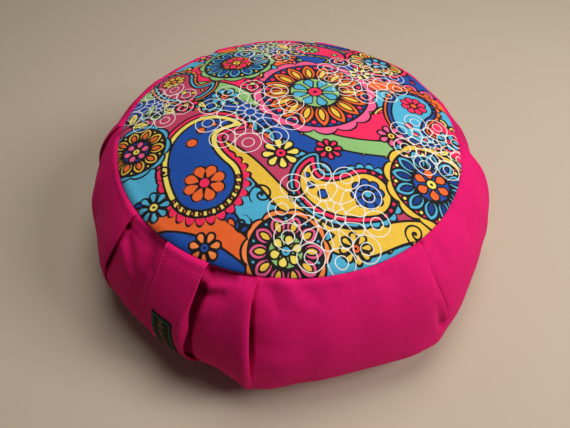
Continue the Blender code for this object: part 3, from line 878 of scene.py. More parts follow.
# A teardrop's rounds, and the line that they stand on: its turn in degrees, and in shares of the
# size how far it reaches, shrinks, leans, stretches and climbs.
BOTEH_BODY = 0.27
BOTEH_THINNING = 0.75
BOTEH_STEPS = 36
BOTEH_TURN = 150.0
BOTEH_REACH = 0.36
BOTEH_SHRINK = 0.35
BOTEH_LEAN = 0.10
BOTEH_STRETCH = 1.25
BOTEH_CLIMB = 0.22


def boteh_spine(share, size, bend):
    """A point of the curling line through a teardrop's body and tail."""
    turn = math.radians(BOTEH_TURN * share)
    reach = BOTEH_REACH * size * (1 - BOTEH_SHRINK * share)
    aside = reach * (1 - math.cos(turn)) - BOTEH_LEAN * size * math.sin(math.pi * share)
    return bend * aside, BOTEH_STRETCH * reach * math.sin(turn) + BOTEH_CLIMB * size * share


def boteh(x, y, size, bend):
    """Distance to a curled teardrop, as the union of rounds that shrink along its spine."""
    nearest = np.full(x.shape, np.inf)
    for step in range(BOTEH_STEPS + 1):
        share = step / BOTEH_STEPS
        aside, ahead = boteh_spine(share, size, bend)
        radius = BOTEH_BODY * size * (1 - share) ** BOTEH_THINNING
        nearest = np.minimum(nearest, np.hypot(x - aside, y - ahead) - radius)
    return nearest


Rosette = namedtuple("Rosette", "x y turn radius count edge ground petals heart dots hub core")
Teardrop = namedtuple("Teardrop", "x y turn size bend outer band inner heart")
Daisy = namedtuple("Daisy", "x y radius count petals hub")
Spray = namedtuple("Spray", "x y turn length pairs leaves first second")
Scroll = namedtuple("Scroll", "x y turn size")
Lace = namedtuple("Lace", "x y turn radius count")

SPRAYS = (
    Spray(-148, -6, 12, length=96, pairs=6, leaves=19, first="green", second="lemon"),
    Spray(2, -146, 42, length=100, pairs=6, leaves=20, first="sky", second="green"),
    Spray(-66, 134, -30, length=84, pairs=5, leaves=18, first="yellow", second="green"),
    Spray(70, -30, -12, length=78, pairs=5, leaves=18, first="lemon", second="sky"),
    Spray(52, 140, -44, length=90, pairs=5, leaves=17, first="sky", second="hot"),
)
TEARDROPS = (
    Teardrop(-66, -76, 24, size=112, bend=1, outer="hot", band="lemon", inner="royal", heart="orange"),
    Teardrop(112, 28, 158, size=84, bend=-1, outer="orange", band="royal", inner="sky", heart="hot"),
    Teardrop(58, -84, 100, size=88, bend=1, outer="sky", band="hot", inner="yellow", heart="royal"),
    Teardrop(-112, 62, 205, size=76, bend=-1, outer="apricot", band="sky", inner="mauve", heart="yellow"),
    Teardrop(20, 118, 250, size=70, bend=1, outer="yellow", band="royal", inner="hot", heart="green"),
)
ROSETTES = (
    Rosette(22, 28, 8, 56, 16, "pink", "royal", "orange", "yellow", "hot", "green", "sky"),
    Rosette(-52, 84, 0, 38, 12, "green", "navy", "sky", "royal", "yellow", "orange", "hot"),
    Rosette(112, -66, 20, 40, 12, "yellow", "hot", "sky", "navy", "lemon", "royal", "orange"),
    Rosette(-128, -34, 0, 30, 10, "sky", "mauve", "yellow", "orange", "lemon", "navy", "pink"),
    Rosette(-4, -132, 0, 32, 10, "apricot", "navy", "pink", "yellow", "sky", "green", "lemon"),
    Rosette(86, 100, 10, 32, 10, "hot", "green", "lemon", "orange", "pink", "navy", "sky"),
)
DAISIES = (
    Daisy(-8, -50, 15, 8, "lemon", "hot"),
    Daisy(-58, 22, 13, 7, "sky", "orange"),
    Daisy(84, -22, 12, 7, "pink", "yellow"),
    Daisy(30, -44, 11, 8, "hot", "lemon"),
    Daisy(-92, 16, 11, 7, "hot", "yellow"),
    Daisy(-4, 92, 11, 7, "orange", "sky"),
    Daisy(138, -12, 11, 7, "sky", "hot"),
    Daisy(46, -128, 12, 8, "yellow", "orange"),
    Daisy(-104, -92, 13, 8, "sky", "lemon"),
    Daisy(-22, 138, 10, 7, "green", "hot"),
    Daisy(-34, 40, 10, 6, "hot", "lemon"),
    Daisy(-62, -128, 12, 7, "apricot", "royal"),
    Daisy(-90, 112, 11, 7, "pink", "lemon"),
    Daisy(66, 68, 11, 7, "lemon", "hot"),
)
SCROLLS = (
    Scroll(-22, -88, 0, 10),
    Scroll(-20, -20, 90, 9),
    Scroll(92, -112, 40, 9),
    Scroll(-118, 8, 0, 7),
    Scroll(130, 78, 0, 8),
    Scroll(-36, -112, 200, 8),
    Scroll(4, -88, 120, 8),
    Scroll(-100, -62, 30, 8),
)
LACES = (
    Lace(-34, -2, 0, 46, 10),
    Lace(68, 62, 0, 42, 10),
    Lace(28, -104, 12, 44, 10),
    Lace(-118, 22, 0, 32, 8),
    Lace(-20, 118, 0, 34, 8),
    Lace(120, -22, 0, 34, 8),
)

# The wavy bands of the ground, each from its level up to the next, and the arches along some.
Band = namedtuple("Band", "level colour")
GROUND = (
    Band(-190, "royal"), Band(-128, "orange"), Band(-108, "sky"), Band(-76, "yellow"),
    Band(-64, "mauve"), Band(-38, "royal"), Band(-8, "green"), Band(8, "hot"), Band(32, "sky"),
    Band(52, "orange"), Band(66, "royal"), Band(98, "yellow"), Band(112, "mauve"), Band(134, "navy"),
)
# The bands lie on a slanted level that two ripples bend, and the arches run across that slant.
LEVEL_X, LEVEL_Y = 0.32, 0.80
Ripple = namedtuple("Ripple", "height along_x along_y phase")
RIPPLES = (
    Ripple(height=15, along_x=1 / 31, along_y=0.0, phase=0.6),
    Ripple(height=6, along_x=1 / 47, along_y=1 / 23, phase=1.0),
)
RUN_X, RUN_Y = 0.93, -0.30
ARCH_RISE = 0.9
ARCH_OUTER = 0.47
ARCH_INNER = 0.22
ARCH_DOT = 1.6
Arches = namedtuple("Arches", "low high pitch outer inner")
ARCHES = (
    Arches(-108, -76, 15, "royal", "orange"),
    Arches(-38, -8, 17, "sky", "orange"),
    Arches(32, 52, 13, "lemon", "hot"),
    Arches(66, 98, 16, "pink", "orange"),
)


def paint_ground(cloth):
    """Wavy bands across the cloth, with rows of arches and dots."""
    x, y = cloth.x, cloth.y
    level, rise_x, rise_y = LEVEL_X * x + LEVEL_Y * y, LEVEL_X, LEVEL_Y
    for ripple in RIPPLES:
        turn = ripple.along_x * x + ripple.along_y * y + ripple.phase
        level = level + ripple.height * np.sin(turn)
        rise_x = rise_x + ripple.height * ripple.along_x * np.cos(turn)
        rise_y = rise_y + ripple.height * ripple.along_y * np.cos(turn)
    slope = np.hypot(rise_x, rise_y)
    for band in GROUND:
        cloth.fill((band.level - level) / slope, band.colour)
    run = RUN_X * x + RUN_Y * y
    for arches in ARCHES:
        inside = (level > arches.low) & (level < arches.high)
        along = (run / arches.pitch % 1 - 0.5) * arches.pitch
        up = ARCH_RISE * (level - arches.low) / slope
        cloth.fill(np.hypot(along, up) - ARCH_OUTER * arches.pitch, arches.outer, where=inside)
        cloth.fill(np.hypot(along, up) - ARCH_INNER * arches.pitch, arches.inner, THIN_OUTLINE, inside)
        along = ((run / arches.pitch + 0.5) % 1 - 0.5) * arches.pitch
        dots = np.hypot(along, (arches.high - level) / slope) - ARCH_DOT
        cloth.fill(dots, "yellow", THIN_OUTLINE, inside)


FEWEST_PETALS = 6
HEART_PETALS = 8
DAISY_TURN = 10
FEWEST_TEETH = 12
TOOTH_PITCH = 7.5
TOOTH_POWER = 0.7
LEAF_ANGLE = 48
SCROLL_PITCHES = 1.6
SCROLL_DOT = 1.5
LACE_MARGIN = 4


def paint_rosette(cloth, motif):
    """A round flower of two rings of petals inside a scalloped edge."""
    x, y = cloth.local(motif)
    radius, count = motif.radius, motif.count
    away = np.hypot(x, y)
    cloth.fill(scalloped(x, y, radius, count, 0.10 * radius), motif.edge)
    cloth.fill(away - 0.84 * radius, motif.ground)
    along, across = folded(x, y, count)
    width = 2 * math.pi * 0.68 * radius / count * 0.86
    cloth.fill(leaf(along, across, 0.36 * radius, 0.84 * radius, width), motif.petals)
    cloth.fill(leaf(along, across, 0.42 * radius, 0.73 * radius, 0.46 * width), motif.heart, THIN_OUTLINE)
    along, across = folded(x, y, count, 0.5)
    dot = np.hypot(along - 0.755 * radius, across) - 0.042 * radius - 0.4
    cloth.fill(dot, motif.dots, THIN_OUTLINE)
    cloth.fill(away - 0.40 * radius, motif.hub)
    inner = max(FEWEST_PETALS, count // 2)
    along, across = folded(x, y, inner, 0.25)
    width = 2 * math.pi * 0.28 * radius / inner * 0.72
    cloth.fill(petal(along, across, 0.11 * radius, 0.37 * radius, width), motif.core, THIN_OUTLINE)
    cloth.fill(away - 0.115 * radius, motif.dots, THIN_OUTLINE)
    cloth.stroke(away, line=0.035 * radius)


def paint_daisy(cloth, motif):
    """A small flower of round petals."""
    x, y = cloth.local(Place(motif.x, motif.y, DAISY_TURN))
    along, across = folded(x, y, motif.count)
    width = 2 * math.pi * 0.66 * motif.radius / motif.count * 0.88
    petals = petal(along, across, 0.12 * motif.radius, motif.radius, width)
    cloth.fill(petals, motif.petals, FLOWER_OUTLINE)
    cloth.fill(np.hypot(x, y) - 0.30 * motif.radius, motif.hub, FLOWER_OUTLINE)
    cloth.stroke(np.hypot(x, y), line=0.10 * motif.radius)


def paint_teardrop(cloth, motif):
    """A curled teardrop in three layers, with a scalloped foot, dots and a flower."""
    x, y = cloth.local(motif)
    size = motif.size
    edge = boteh(x, y, size, motif.bend)
    low = np.clip(1 - (y + 0.05 * size) / (0.30 * size), 0, 1)
    teeth = max(FEWEST_TEETH, round(2 * math.pi * BOTEH_BODY * size / TOOTH_PITCH))
    wave = np.abs(np.cos(np.arctan2(y, x) * teeth / 2)) ** TOOTH_POWER
    cloth.fill(edge - 0.050 * size * (low * wave + (1 - low) * 0.55), motif.outer)
    cloth.fill(edge + 0.012 * size, motif.band)
    cloth.fill(edge + 0.060 * size, motif.inner)
    along, across = folded(x, y, teeth)
    ring = (BOTEH_BODY - 0.036) * size
    sector = 2 * math.pi / teeth
    low_half = ring * np.sin(np.round(np.arctan2(y, x) / sector) * sector) < -0.02 * size
    cloth.fill(np.hypot(along - ring, across) - 0.014 * size, motif.heart, THIN_OUTLINE, low_half)
    along, across = folded(x, y, HEART_PETALS)
    cloth.fill(petal(along, across, 0.03 * size, 0.150 * size, 0.085 * size), motif.heart, THIN_OUTLINE)
    cloth.fill(np.hypot(x, y) - 0.040 * size, motif.outer, THIN_OUTLINE)
    for share, radius in ((0.35, 0.042), (0.52, 0.033), (0.67, 0.024)):
        aside, ahead = boteh_spine(share, size, motif.bend)
        cloth.fill(np.hypot(x - aside, y - ahead) - radius * size, motif.heart, THIN_OUTLINE)


def paint_spray(cloth, motif):
    """A bowed stem with pairs of leaves."""
    x, y = cloth.local(motif)
    bow = 0.14 * motif.length
    radius = (motif.length ** 2 / 4 + bow ** 2) / (2 * bow)
    half = math.asin(motif.length / 2 / radius)
    centre_x, centre_y = motif.length / 2, bow - radius
    angle = np.arctan2(x - centre_x, y - centre_y)
    cloth.stroke(np.hypot(x - centre_x, y - centre_y) - radius, LEAF_OUTLINE, np.abs(angle) < half)
    for pair in range(motif.pairs + 1):
        share = (pair + 0.6) / motif.pairs
        at_tip = pair == motif.pairs
        place = half if at_tip else -half + 1.86 * half * share
        from_x = x - centre_x - radius * math.sin(place)
        from_y = y - centre_y - radius * math.cos(place)
        length = motif.leaves * (1 - 0.35 * share)
        for side in (0,) if at_tip else (-1, 1):
            heading = -place + side * math.radians(LEAF_ANGLE)
            along = from_x * math.cos(heading) + from_y * math.sin(heading)
            across = from_y * math.cos(heading) - from_x * math.sin(heading)
            colour = motif.second if (pair + side) % 2 else motif.first
            blade = leaf(along, across, LEAF_OUTLINE, length, 0.44 * length)
            cloth.fill(blade, colour, LEAF_OUTLINE)
            cloth.stroke(across, VEIN_OUTLINE, (along > 1) & (along < 0.7 * length))


def paint_scroll(cloth, motif):
    """A small spiral with a dot at its heart."""
    x, y = cloth.local(motif)
    away = np.hypot(x, y)
    pitch = motif.size / SCROLL_PITCHES
    arm = (away / pitch - np.arctan2(y, x) / (2 * math.pi) + 0.5) % 1 - 0.5
    cloth.stroke(arm * pitch, FLOWER_OUTLINE, (away < motif.size) & (away > 0.25 * pitch))
    cloth.stroke(away, SCROLL_DOT)


def paint_lace(cloth, motif):
    """A fine white flower of loops and rings, laid over everything."""
    x, y = cloth.local(motif)
    radius, count = motif.radius, motif.count
    away = np.hypot(x, y)
    around = 2 * math.pi * radius / count
    along, across = folded(x, y, count)
    between, beside = folded(x, y, count, 0.5)
    lines = [
        away - 0.10 * radius,
        away - 0.27 * radius,
        np.where((away > 0.10 * radius) & (away < 0.27 * radius), beside, FAR),
        petal(along, across, 0.28 * radius, 0.62 * radius, 0.52 * around * 0.62),
        np.hypot(between - 0.80 * radius, beside) - 0.78 * around * 0.47,
        np.hypot(between - 0.80 * radius, beside) - 0.78 * around * 0.22,
    ]
    for line in lines:
        cloth.draw_fine(np.where(away < radius + LACE_MARGIN, line, FAR))


def paint_print(x, y):
    """The whole print at points of the flat round."""
    cloth = Print(x, y)
    paint_ground(cloth)
    for table, paint in (
        (SPRAYS, paint_spray),
        (TEARDROPS, paint_teardrop),
        (ROSETTES, paint_rosette),
        (DAISIES, paint_daisy),
        (SCROLLS, paint_scroll),
        (LACES, paint_lace),
    ):
        for motif in table:
            paint(cloth, motif)
    return cloth


# ----------------------------------------
# Materials.

def add_node(tree, kind, inputs=None, **settings):
    """Add a node with its settings; an input is a number, a colour or another node's socket."""
    node = tree.nodes.new(kind)
    for name, value in settings.items():
        setattr(node, name, value)
    for key, value in (inputs or {}).items():
        if isinstance(value, bpy.types.NodeSocket):
            tree.links.new(value, node.inputs[key])
        else:
            node.inputs[key].default_value = value
    return node


def opaque(colour, share=1.0):
    """A linear colour times a share, for a socket."""
    return (*[min(1.0, share * c) for c in colour], 1.0)


FIBRE_IOR = 1.47


def start_material(name, colour, roughness, sheen, sheen_roughness, specular):
    """A fibre material with its constant finish, its node tree and its shader."""
    material = bpy.data.materials.new(name)
    material.use_nodes = True
    material.diffuse_color = opaque(colour)
    shader = material.node_tree.nodes["Principled BSDF"]
    shader.inputs["Base Color"].default_value = opaque(colour)
    shader.inputs["Roughness"].default_value = roughness
    shader.inputs["IOR"].default_value = FIBRE_IOR
    shader.inputs["Specular IOR Level"].default_value = specular
    shader.inputs["Sheen Weight"].default_value = sheen
    shader.inputs["Sheen Roughness"].default_value = sheen_roughness
    shader.inputs["Sheen Tint"].default_value = opaque(colour)
    return material, material.node_tree, shader


# Counted in threads: how often they wander and how far, and how often a slub comes across the
# threads and along them.
WANDER_RATE = 0.06
WANDER_REACH = 0.5
SLUB_ACROSS = 0.6
SLUB_ALONG = 0.035


def add_weave(tree, spacing):
    """Plain weave, from threads one spacing apart each way.

    Returns the height of the cloth, 0 between threads and 1 on a crossing, its slow slubs, and the
    place on the flat cloth.
    """
    place = add_node(tree, "ShaderNodeAttribute", attribute_name="cloth").outputs["Vector"]
    wander = add_node(tree, "ShaderNodeTexNoise",
                      {"Vector": place, "Scale": WANDER_RATE / spacing, "Detail": 2.0})
    shifted = add_node(tree, "ShaderNodeVectorMath", {0: wander.outputs["Color"], 1: (0.5, 0.5, 0.5)},
                       operation="SUBTRACT")
    bent = add_node(tree, "ShaderNodeVectorMath",
                    {0: shifted.outputs["Vector"], 1: (WANDER_REACH * spacing,) * 3, 2: place},
                    operation="MULTIPLY_ADD")
    counted = add_node(tree, "ShaderNodeVectorMath",
                       {0: bent.outputs["Vector"], "Scale": math.pi / spacing}, operation="SCALE")
    parts = add_node(tree, "ShaderNodeSeparateXYZ", {0: counted.outputs["Vector"]})
    ribs = []
    for axis in ("X", "Y"):
        wave = add_node(tree, "ShaderNodeMath", {0: parts.outputs[axis]}, operation="SINE")
        rib = add_node(tree, "ShaderNodeMath", {0: wave.outputs[0]}, operation="ABSOLUTE")
        ribs.append(rib.outputs[0])
    height = add_node(tree, "ShaderNodeMath", {0: ribs[0], 1: ribs[1]}, operation="MULTIPLY")
    across, along = SLUB_ACROSS / spacing, SLUB_ALONG / spacing
    slubs = []
    for stretch in ((across, along, 1.0), (along, across, 1.0)):
        run = add_node(tree, "ShaderNodeVectorMath", {0: place, 1: stretch}, operation="MULTIPLY")
        slub = add_node(tree, "ShaderNodeTexNoise",
                        {"Vector": run.outputs["Vector"], "Scale": 1.0, "Detail": 2.0})
        slubs.append(slub.outputs[0])
    both = add_node(tree, "ShaderNodeMath", {0: slubs[0], 1: slubs[1]}, operation="ADD")
    return height.outputs[0], both.outputs[0], place


# The height from which a thread is fully lit, how much lighter it is there than the cloth, and the
# range of the slubs and their share in the tint, the bump and the bump's strength.
THREAD_TOP = 0.8
THREAD_LIGHT = 0.25
SLUB_RANGE = (0.7, 1.3)
SLUB_TINT = 0.5
SLUB_BUMP = 0.5
BUMP_STRENGTH = 0.5


def tint_by_weave(tree, colour, height, slub, depth):
    """A colour with painted shade between the threads and painted light where they cross, varied along the
    slubs.
    """
    low = add_node(tree, "ShaderNodeMapRange",
                   {"Value": height, "From Min": 0.0, "From Max": THREAD_TOP,
                    "To Min": 1.0 - depth, "To Max": 1.0 + THREAD_LIGHT * depth})
    slow = add_node(tree, "ShaderNodeMapRange",
                    {"Value": slub, "From Min": SLUB_RANGE[0], "From Max": SLUB_RANGE[1],
                     "To Min": 1.0 - SLUB_TINT * depth, "To Max": 1.0 + SLUB_TINT * depth})
    shade = add_node(tree, "ShaderNodeMath", {0: low.outputs[0], 1: slow.outputs[0]}, operation="MULTIPLY")
    tinted = add_node(tree, "ShaderNodeVectorMath", {0: colour, "Scale": shade.outputs[0]},
                      operation="SCALE")
    return tinted.outputs["Vector"]


def bump_by_weave(tree, shader, height, slub, thread):
    """Bump from the threads, and a little from the slubs."""
    both = add_node(tree, "ShaderNodeMath", {0: slub, 1: SLUB_BUMP, 2: height}, operation="MULTIPLY_ADD")
    bump = add_node(tree, "ShaderNodeBump",
                    {"Height": both.outputs[0], "Strength": BUMP_STRENGTH, "Distance": thread})
    tree.links.new(bump.outputs["Normal"], shader.inputs["Normal"])


WEAR_PATCH = 5.8824 * MM
WORN = (0.82, 1.16)
# The share of the canvas colour that is left under full painted shade.
FULL_PAINTED_SHADE = 0.25


def piece_dyed_cotton_canvas(colours, sizes):
    """Cotton canvas, plain woven and piece dyed.

    The eye sees one deep colour, matt, with a faint grid of threads and a soft bloom at grazing
    angles. It is worn unevenly in patches of about 6 mm, and has painted shade deep inside the folds,
    in the hollow beside the strap and in narrow creases. Its threads are about 0.5 mm apart, which is
    under a pixel, so they are drawn coarser.
    """
    colour = tuple(colours.canvas)
    material, tree, shader = start_material("piece_dyed_cotton_canvas", colour, roughness=0.88,
                                            sheen=0.12, sheen_roughness=0.4, specular=0.22)
    height, slub, place = add_weave(tree, sizes.canvas_thread)
    wear = add_node(tree, "ShaderNodeTexNoise",
                    {"Vector": place, "Scale": 1 / WEAR_PATCH, "Detail": 4.0, "Roughness": 0.65})
    worn = add_node(tree, "ShaderNodeMix",
                    {"Factor": wear.outputs[0], "A": opaque(colour, WORN[0]), "B": opaque(colour, WORN[1])},
                    data_type="RGBA")
    tinted = tint_by_weave(tree, worn.outputs["Result"], height, slub, depth=0.05)
    # Painted shade: the colour darkens by the shade stored for folds, the hollow and creases.
    inner = add_node(tree, "ShaderNodeAttribute", attribute_name="inner_depth").outputs["Fac"]
    painted_shade_kept = add_node(tree, "ShaderNodeMapRange", {"Value": inner, "To Min": 1.0, "To Max": FULL_PAINTED_SHADE})
    deep = add_node(tree, "ShaderNodeVectorMath", {0: tinted, "Scale": painted_shade_kept.outputs[0]}, operation="SCALE")
    tree.links.new(deep.outputs["Vector"], shader.inputs["Base Color"])
    bump_by_weave(tree, shader, height, slub, thread=0.10 * MM)
    return material


# In millimetres: how soft a printed edge is, and how near a fine line its own distance is asked for.
PRINT_EDGE = 0.12
FINE_LINE_NEAR = 1.3


def screen_printed_cotton(colours, sizes):
    """Cotton half-panama, screen printed with opaque pigment.

    The eye sees flat bright colours with hard edges, black outlines and thin white line, broken up
    by fine ribs of the weave where the pigment sits on top of the threads. They too are under a
    pixel apart, and are drawn coarser.
    """
    ink = opaque(colours.outline)
    white = opaque(colours.fine_line)
    material, tree, shader = start_material("screen_printed_cotton", srgb("#bc7c7c"), roughness=0.80,
                                            sheen=0.06, sheen_roughness=0.4, specular=0.25)
    shader.inputs["Sheen Tint"].default_value = opaque(srgb("#ffffff"))
    height, slub, _ = add_weave(tree, sizes.print_thread)
    pigment = add_node(tree, "ShaderNodeAttribute", attribute_name="pigment")
    layers = []
    for name, edge in (("ink", 0.0), ("fine_line", sizes.fine_line / MM)):
        number = add_node(tree, "ShaderNodeAttribute", attribute_name=name).outputs["Fac"]
        if name == "fine_line":
            number = add_node(tree, "ShaderNodeMath", {0: number}, operation="ABSOLUTE").outputs[0]
        layer = add_node(tree, "ShaderNodeMapRange",
                         {"Value": number, "From Min": edge - PRINT_EDGE, "From Max": edge + PRINT_EDGE,
                          "To Min": 1.0, "To Max": 0.0})
        layers.append(layer.outputs[0])
    near = add_node(tree, "ShaderNodeAttribute", attribute_name="fine_line_near").outputs["Fac"]
    close = add_node(tree, "ShaderNodeMath", {0: near, 1: FINE_LINE_NEAR}, operation="LESS_THAN")
    line = add_node(tree, "ShaderNodeMath", {0: layers[1], 1: close.outputs[0]}, operation="MULTIPLY")
    inked = add_node(tree, "ShaderNodeMix", {"Factor": layers[0], "A": pigment.outputs["Color"], "B": ink},
                     data_type="RGBA")
    lined = add_node(tree, "ShaderNodeMix",
                     {"Factor": line.outputs[0], "A": inked.outputs["Result"], "B": white},
                     data_type="RGBA")
    tinted = tint_by_weave(tree, lined.outputs["Result"], height, slub, depth=0.11)
    tree.links.new(tinted, shader.inputs["Base Color"])
    bump_by_weave(tree, shader, height, slub, thread=0.18 * MM)
    return material


LABEL_THREAD = 0.45 * MM
BORDER_INSET = 2.3 * MM
BORDER_HALF = 0.42 * MM
FIGURE_PITCH = 7.0 * MM
FIGURE_REACH = 2.4 * MM
FIGURE_HALF = 0.55 * MM
FIGURE_INSET = 3.4 * MM


def damask_label_ribbon(colours, sizes):
    """Polyester label ribbon, woven damask.

    The eye sees a tight black satin with a low gloss, a fine green line and small gold figures
    woven into it. Its threads are drawn coarser than real, to show at all.
    """
    ground = tuple(colours.label)
    material, tree, shader = start_material("damask_label_ribbon", ground, roughness=0.7,
                                            sheen=0.0, sheen_roughness=0.3, specular=0.18)
    height, slub, place = add_weave(tree, LABEL_THREAD)
    parts = add_node(tree, "ShaderNodeSeparateXYZ", {0: place})
    beside = add_node(tree, "ShaderNodeMath", {0: parts.outputs["X"]}, operation="ABSOLUTE").outputs[0]
    above = add_node(tree, "ShaderNodeMath", {0: parts.outputs["Y"]}, operation="ABSOLUTE").outputs[0]
    half_width, half_length = sizes.label_width / 2, sizes.label_length / 2
    in_width = add_node(tree, "ShaderNodeMath", {0: beside, 1: half_width}, operation="SUBTRACT").outputs[0]
    in_length = add_node(tree, "ShaderNodeMath", {0: above, 1: half_length}, operation="SUBTRACT").outputs[0]
    inset = add_node(tree, "ShaderNodeMath", {0: in_width, 1: in_length}, operation="MAXIMUM").outputs[0]
    border = add_node(tree, "ShaderNodeMath", {0: inset, 1: -BORDER_INSET, 2: BORDER_HALF},
                      operation="COMPARE")
    row = add_node(tree, "ShaderNodeMath", {0: parts.outputs["Y"], 1: FIGURE_PITCH, 2: 0.0},
                   operation="WRAP").outputs[0]
    row_place = add_node(tree, "ShaderNodeMath", {0: row, 1: FIGURE_PITCH / 2},
                         operation="SUBTRACT").outputs[0]
    row_away = add_node(tree, "ShaderNodeMath", {0: row_place}, operation="ABSOLUTE").outputs[0]
    lozenge = add_node(tree, "ShaderNodeMath", {0: row_away, 1: beside}, operation="ADD").outputs[0]
    ring = add_node(tree, "ShaderNodeMath", {0: lozenge, 1: FIGURE_REACH, 2: FIGURE_HALF},
                    operation="COMPARE")
    within = add_node(tree, "ShaderNodeMath", {0: inset, 1: -FIGURE_INSET}, operation="LESS_THAN")
    figure = add_node(tree, "ShaderNodeMath", {0: ring.outputs[0], 1: within.outputs[0]},
                      operation="MULTIPLY")
    edged = add_node(tree, "ShaderNodeMix",
                     {"Factor": border.outputs[0], "A": opaque(ground), "B": opaque(colours.label_border)},
                     data_type="RGBA")
    figured = add_node(tree, "ShaderNodeMix",
                       {"Factor": figure.outputs[0], "A": edged.outputs["Result"],
                        "B": opaque(colours.label_figure)}, data_type="RGBA")
    tinted = tint_by_weave(tree, figured.outputs["Result"], height, slub, depth=0.3)
    tree.links.new(tinted, shader.inputs["Base Color"])
    bump_by_weave(tree, shader, height, slub, thread=0.12 * MM)
    return material


# The wave node turns its bands by ten radians for each unit of its scaled place.
THREAD_TWIST = 0.69813 * MM
TWIST_SCALE = 2 * math.pi / (10 * THREAD_TWIST)
# The twist's ribs as painted shade and light: the thread's colour times these.
TWIST_TINT = (0.8, 1.1)


def spun_polyester_thread(name, colour):
    """Sewing thread, spun polyester in two plies.

    The eye sees a fine raised line a little glossier than the canvas, ribbed by its twist, which
    comes round every 0.7 mm.
    """
    material, tree, shader = start_material(name, colour, roughness=0.6,
                                            sheen=0.2, sheen_roughness=0.3, specular=0.35)
    place = add_node(tree, "ShaderNodeTexCoord").outputs["Object"]
    twist = add_node(tree, "ShaderNodeTexWave",
                     {"Vector": place, "Scale": TWIST_SCALE, "Distortion": 1.0},
                     bands_direction="DIAGONAL")
    shade = add_node(tree, "ShaderNodeMix",
                     {"Factor": twist.outputs["Fac"], "A": opaque(colour, TWIST_TINT[0]),
                      "B": opaque(colour, TWIST_TINT[1])}, data_type="RGBA")
    tree.links.new(shade.outputs["Result"], shader.inputs["Base Color"])
    return material


FIBRE_CLOUD = 16.667 * MM
FIBRE_TINT = (0.985, 1.01)


def rolled_paper(colour):
    """Studio background paper, calendered.

    The eye sees an even, matt surface, with barely visible clouds of fibre about 17 mm across.
    """
    material, tree, shader = start_material("rolled_paper", colour, roughness=0.95,
                                            sheen=0.0, sheen_roughness=0.5, specular=0.1)
    place = add_node(tree, "ShaderNodeTexCoord").outputs["Object"]
    fibre = add_node(tree, "ShaderNodeTexNoise", {"Vector": place, "Scale": 1 / FIBRE_CLOUD, "Detail": 4.0})
    shade = add_node(tree, "ShaderNodeMix",
                     {"Factor": fibre.outputs[0], "A": opaque(colour, FIBRE_TINT[0]),
                      "B": opaque(colour, FIBRE_TINT[1])}, data_type="RGBA")
    tree.links.new(shade.outputs["Result"], shader.inputs["Base Color"])
    return material


def canvas_material(context):
    """The one canvas that the band, the base and the strap are cut from."""
    found = bpy.data.materials.get("piece_dyed_cotton_canvas")
    return found or piece_dyed_cotton_canvas(context.scene.cushion_colours, context.scene.cushion_sizes)


# ----------------------------------------
# Sizes and colours that a user may change.

class CushionSizes(bpy.types.PropertyGroup):
    """Finish sizes of the cushion."""

    canvas_thread: FloatProperty(
        name="Canvas thread", description="Drawn spacing of the canvas threads",
        default=1.5 * MM, min=0.2 * MM, max=4 * MM, precision=5, unit="LENGTH")
    print_thread: FloatProperty(
        name="Print thread", description="Drawn spacing of the printed cotton's threads",
        default=1.3 * MM, min=0.2 * MM, max=4 * MM, precision=5, unit="LENGTH")
    fine_line: FloatProperty(
        name="Fine line", description="Half the width of the print's thin white line",
        default=0.36 * MM, min=0.2 * MM, max=2 * MM, precision=5, unit="LENGTH")
    seam_depth: FloatProperty(
        name="Seam depth", description="How deep the cloth falls into the top seam",
        default=1.3 * MM, min=0.0, max=3 * MM, precision=5, unit="LENGTH")
    pucker_depth: FloatProperty(
        name="Pucker depth", description="Height of the small gathers along the top seam",
        default=0.22 * MM, min=0.0, max=1 * MM, precision=5, unit="LENGTH")
    unevenness: FloatProperty(
        name="Unevenness", description="Height of the slow waves that the filling leaves",
        default=0.7 * MM, min=0.0, max=3 * MM, precision=5, unit="LENGTH")
    stitch_length: FloatProperty(
        name="Stitch length", description="Length of one stitch along the strap",
        default=2.6 * MM, min=1 * MM, max=6 * MM, precision=5, unit="LENGTH")
    stitch_inset: FloatProperty(
        name="Stitch inset", description="Distance of the topstitching from the strap's edge",
        default=2.2 * MM, min=1 * MM, max=8 * MM, precision=5, unit="LENGTH")
    label_width: FloatProperty(
        name="Label width", description="Width of the woven label",
        default=LABEL_WIDTH, min=5 * MM, max=35 * MM, precision=5, unit="LENGTH")
    label_length: FloatProperty(
        name="Label length", description="Length of the woven label down the strap",
        default=float(distance_down(LABEL_BOTTOM_DROP) - distance_down(LABEL_TOP_DROP)),
        min=5 * MM, max=80 * MM, precision=5, unit="LENGTH")
    print_cells: IntProperty(
        name="Print cells", description="Cells of the printed round's mesh across its width",
        default=296, min=40, max=300)


class CushionColours(bpy.types.PropertyGroup):
    """Colours of the cushion and its stage, stored linear."""

    canvas: FloatVectorProperty(
        name="Canvas", description="Dyed canvas of the band, base and strap",
        default=srgb("#e01070"), size=3, min=0, max=1, subtype="COLOR")
    outline: FloatVectorProperty(
        name="Outline", description="Black outlines of the print",
        default=srgb("#17141a"), size=3, min=0, max=1, subtype="COLOR")
    fine_line: FloatVectorProperty(
        name="Fine line", description="Thin white line-work of the print",
        default=srgb("#f0f1f0"), size=3, min=0, max=1, subtype="COLOR")
    label: FloatVectorProperty(
        name="Label", description="Ground of the woven label",
        default=srgb("#100d0b"), size=3, min=0, max=1, subtype="COLOR")
    label_border: FloatVectorProperty(
        name="Label border", description="Thin line round the label",
        default=srgb("#2f7a4c"), size=3, min=0, max=1, subtype="COLOR")
    label_figure: FloatVectorProperty(
        name="Label figure", description="Small woven figures on the label",
        default=srgb("#b07a3c"), size=3, min=0, max=1, subtype="COLOR")
    floor: FloatVectorProperty(
        name="Floor", description="Pale paper under and behind the cushion",
        default=srgb("#c2b7a8"), size=3, min=0, max=1, subtype="COLOR")


# ----------------------------------------
# Pieces.

# How far apart the panels' threads lie on the flat cloth, so that each panel's weave is its own.
PANEL_APART = 0.2


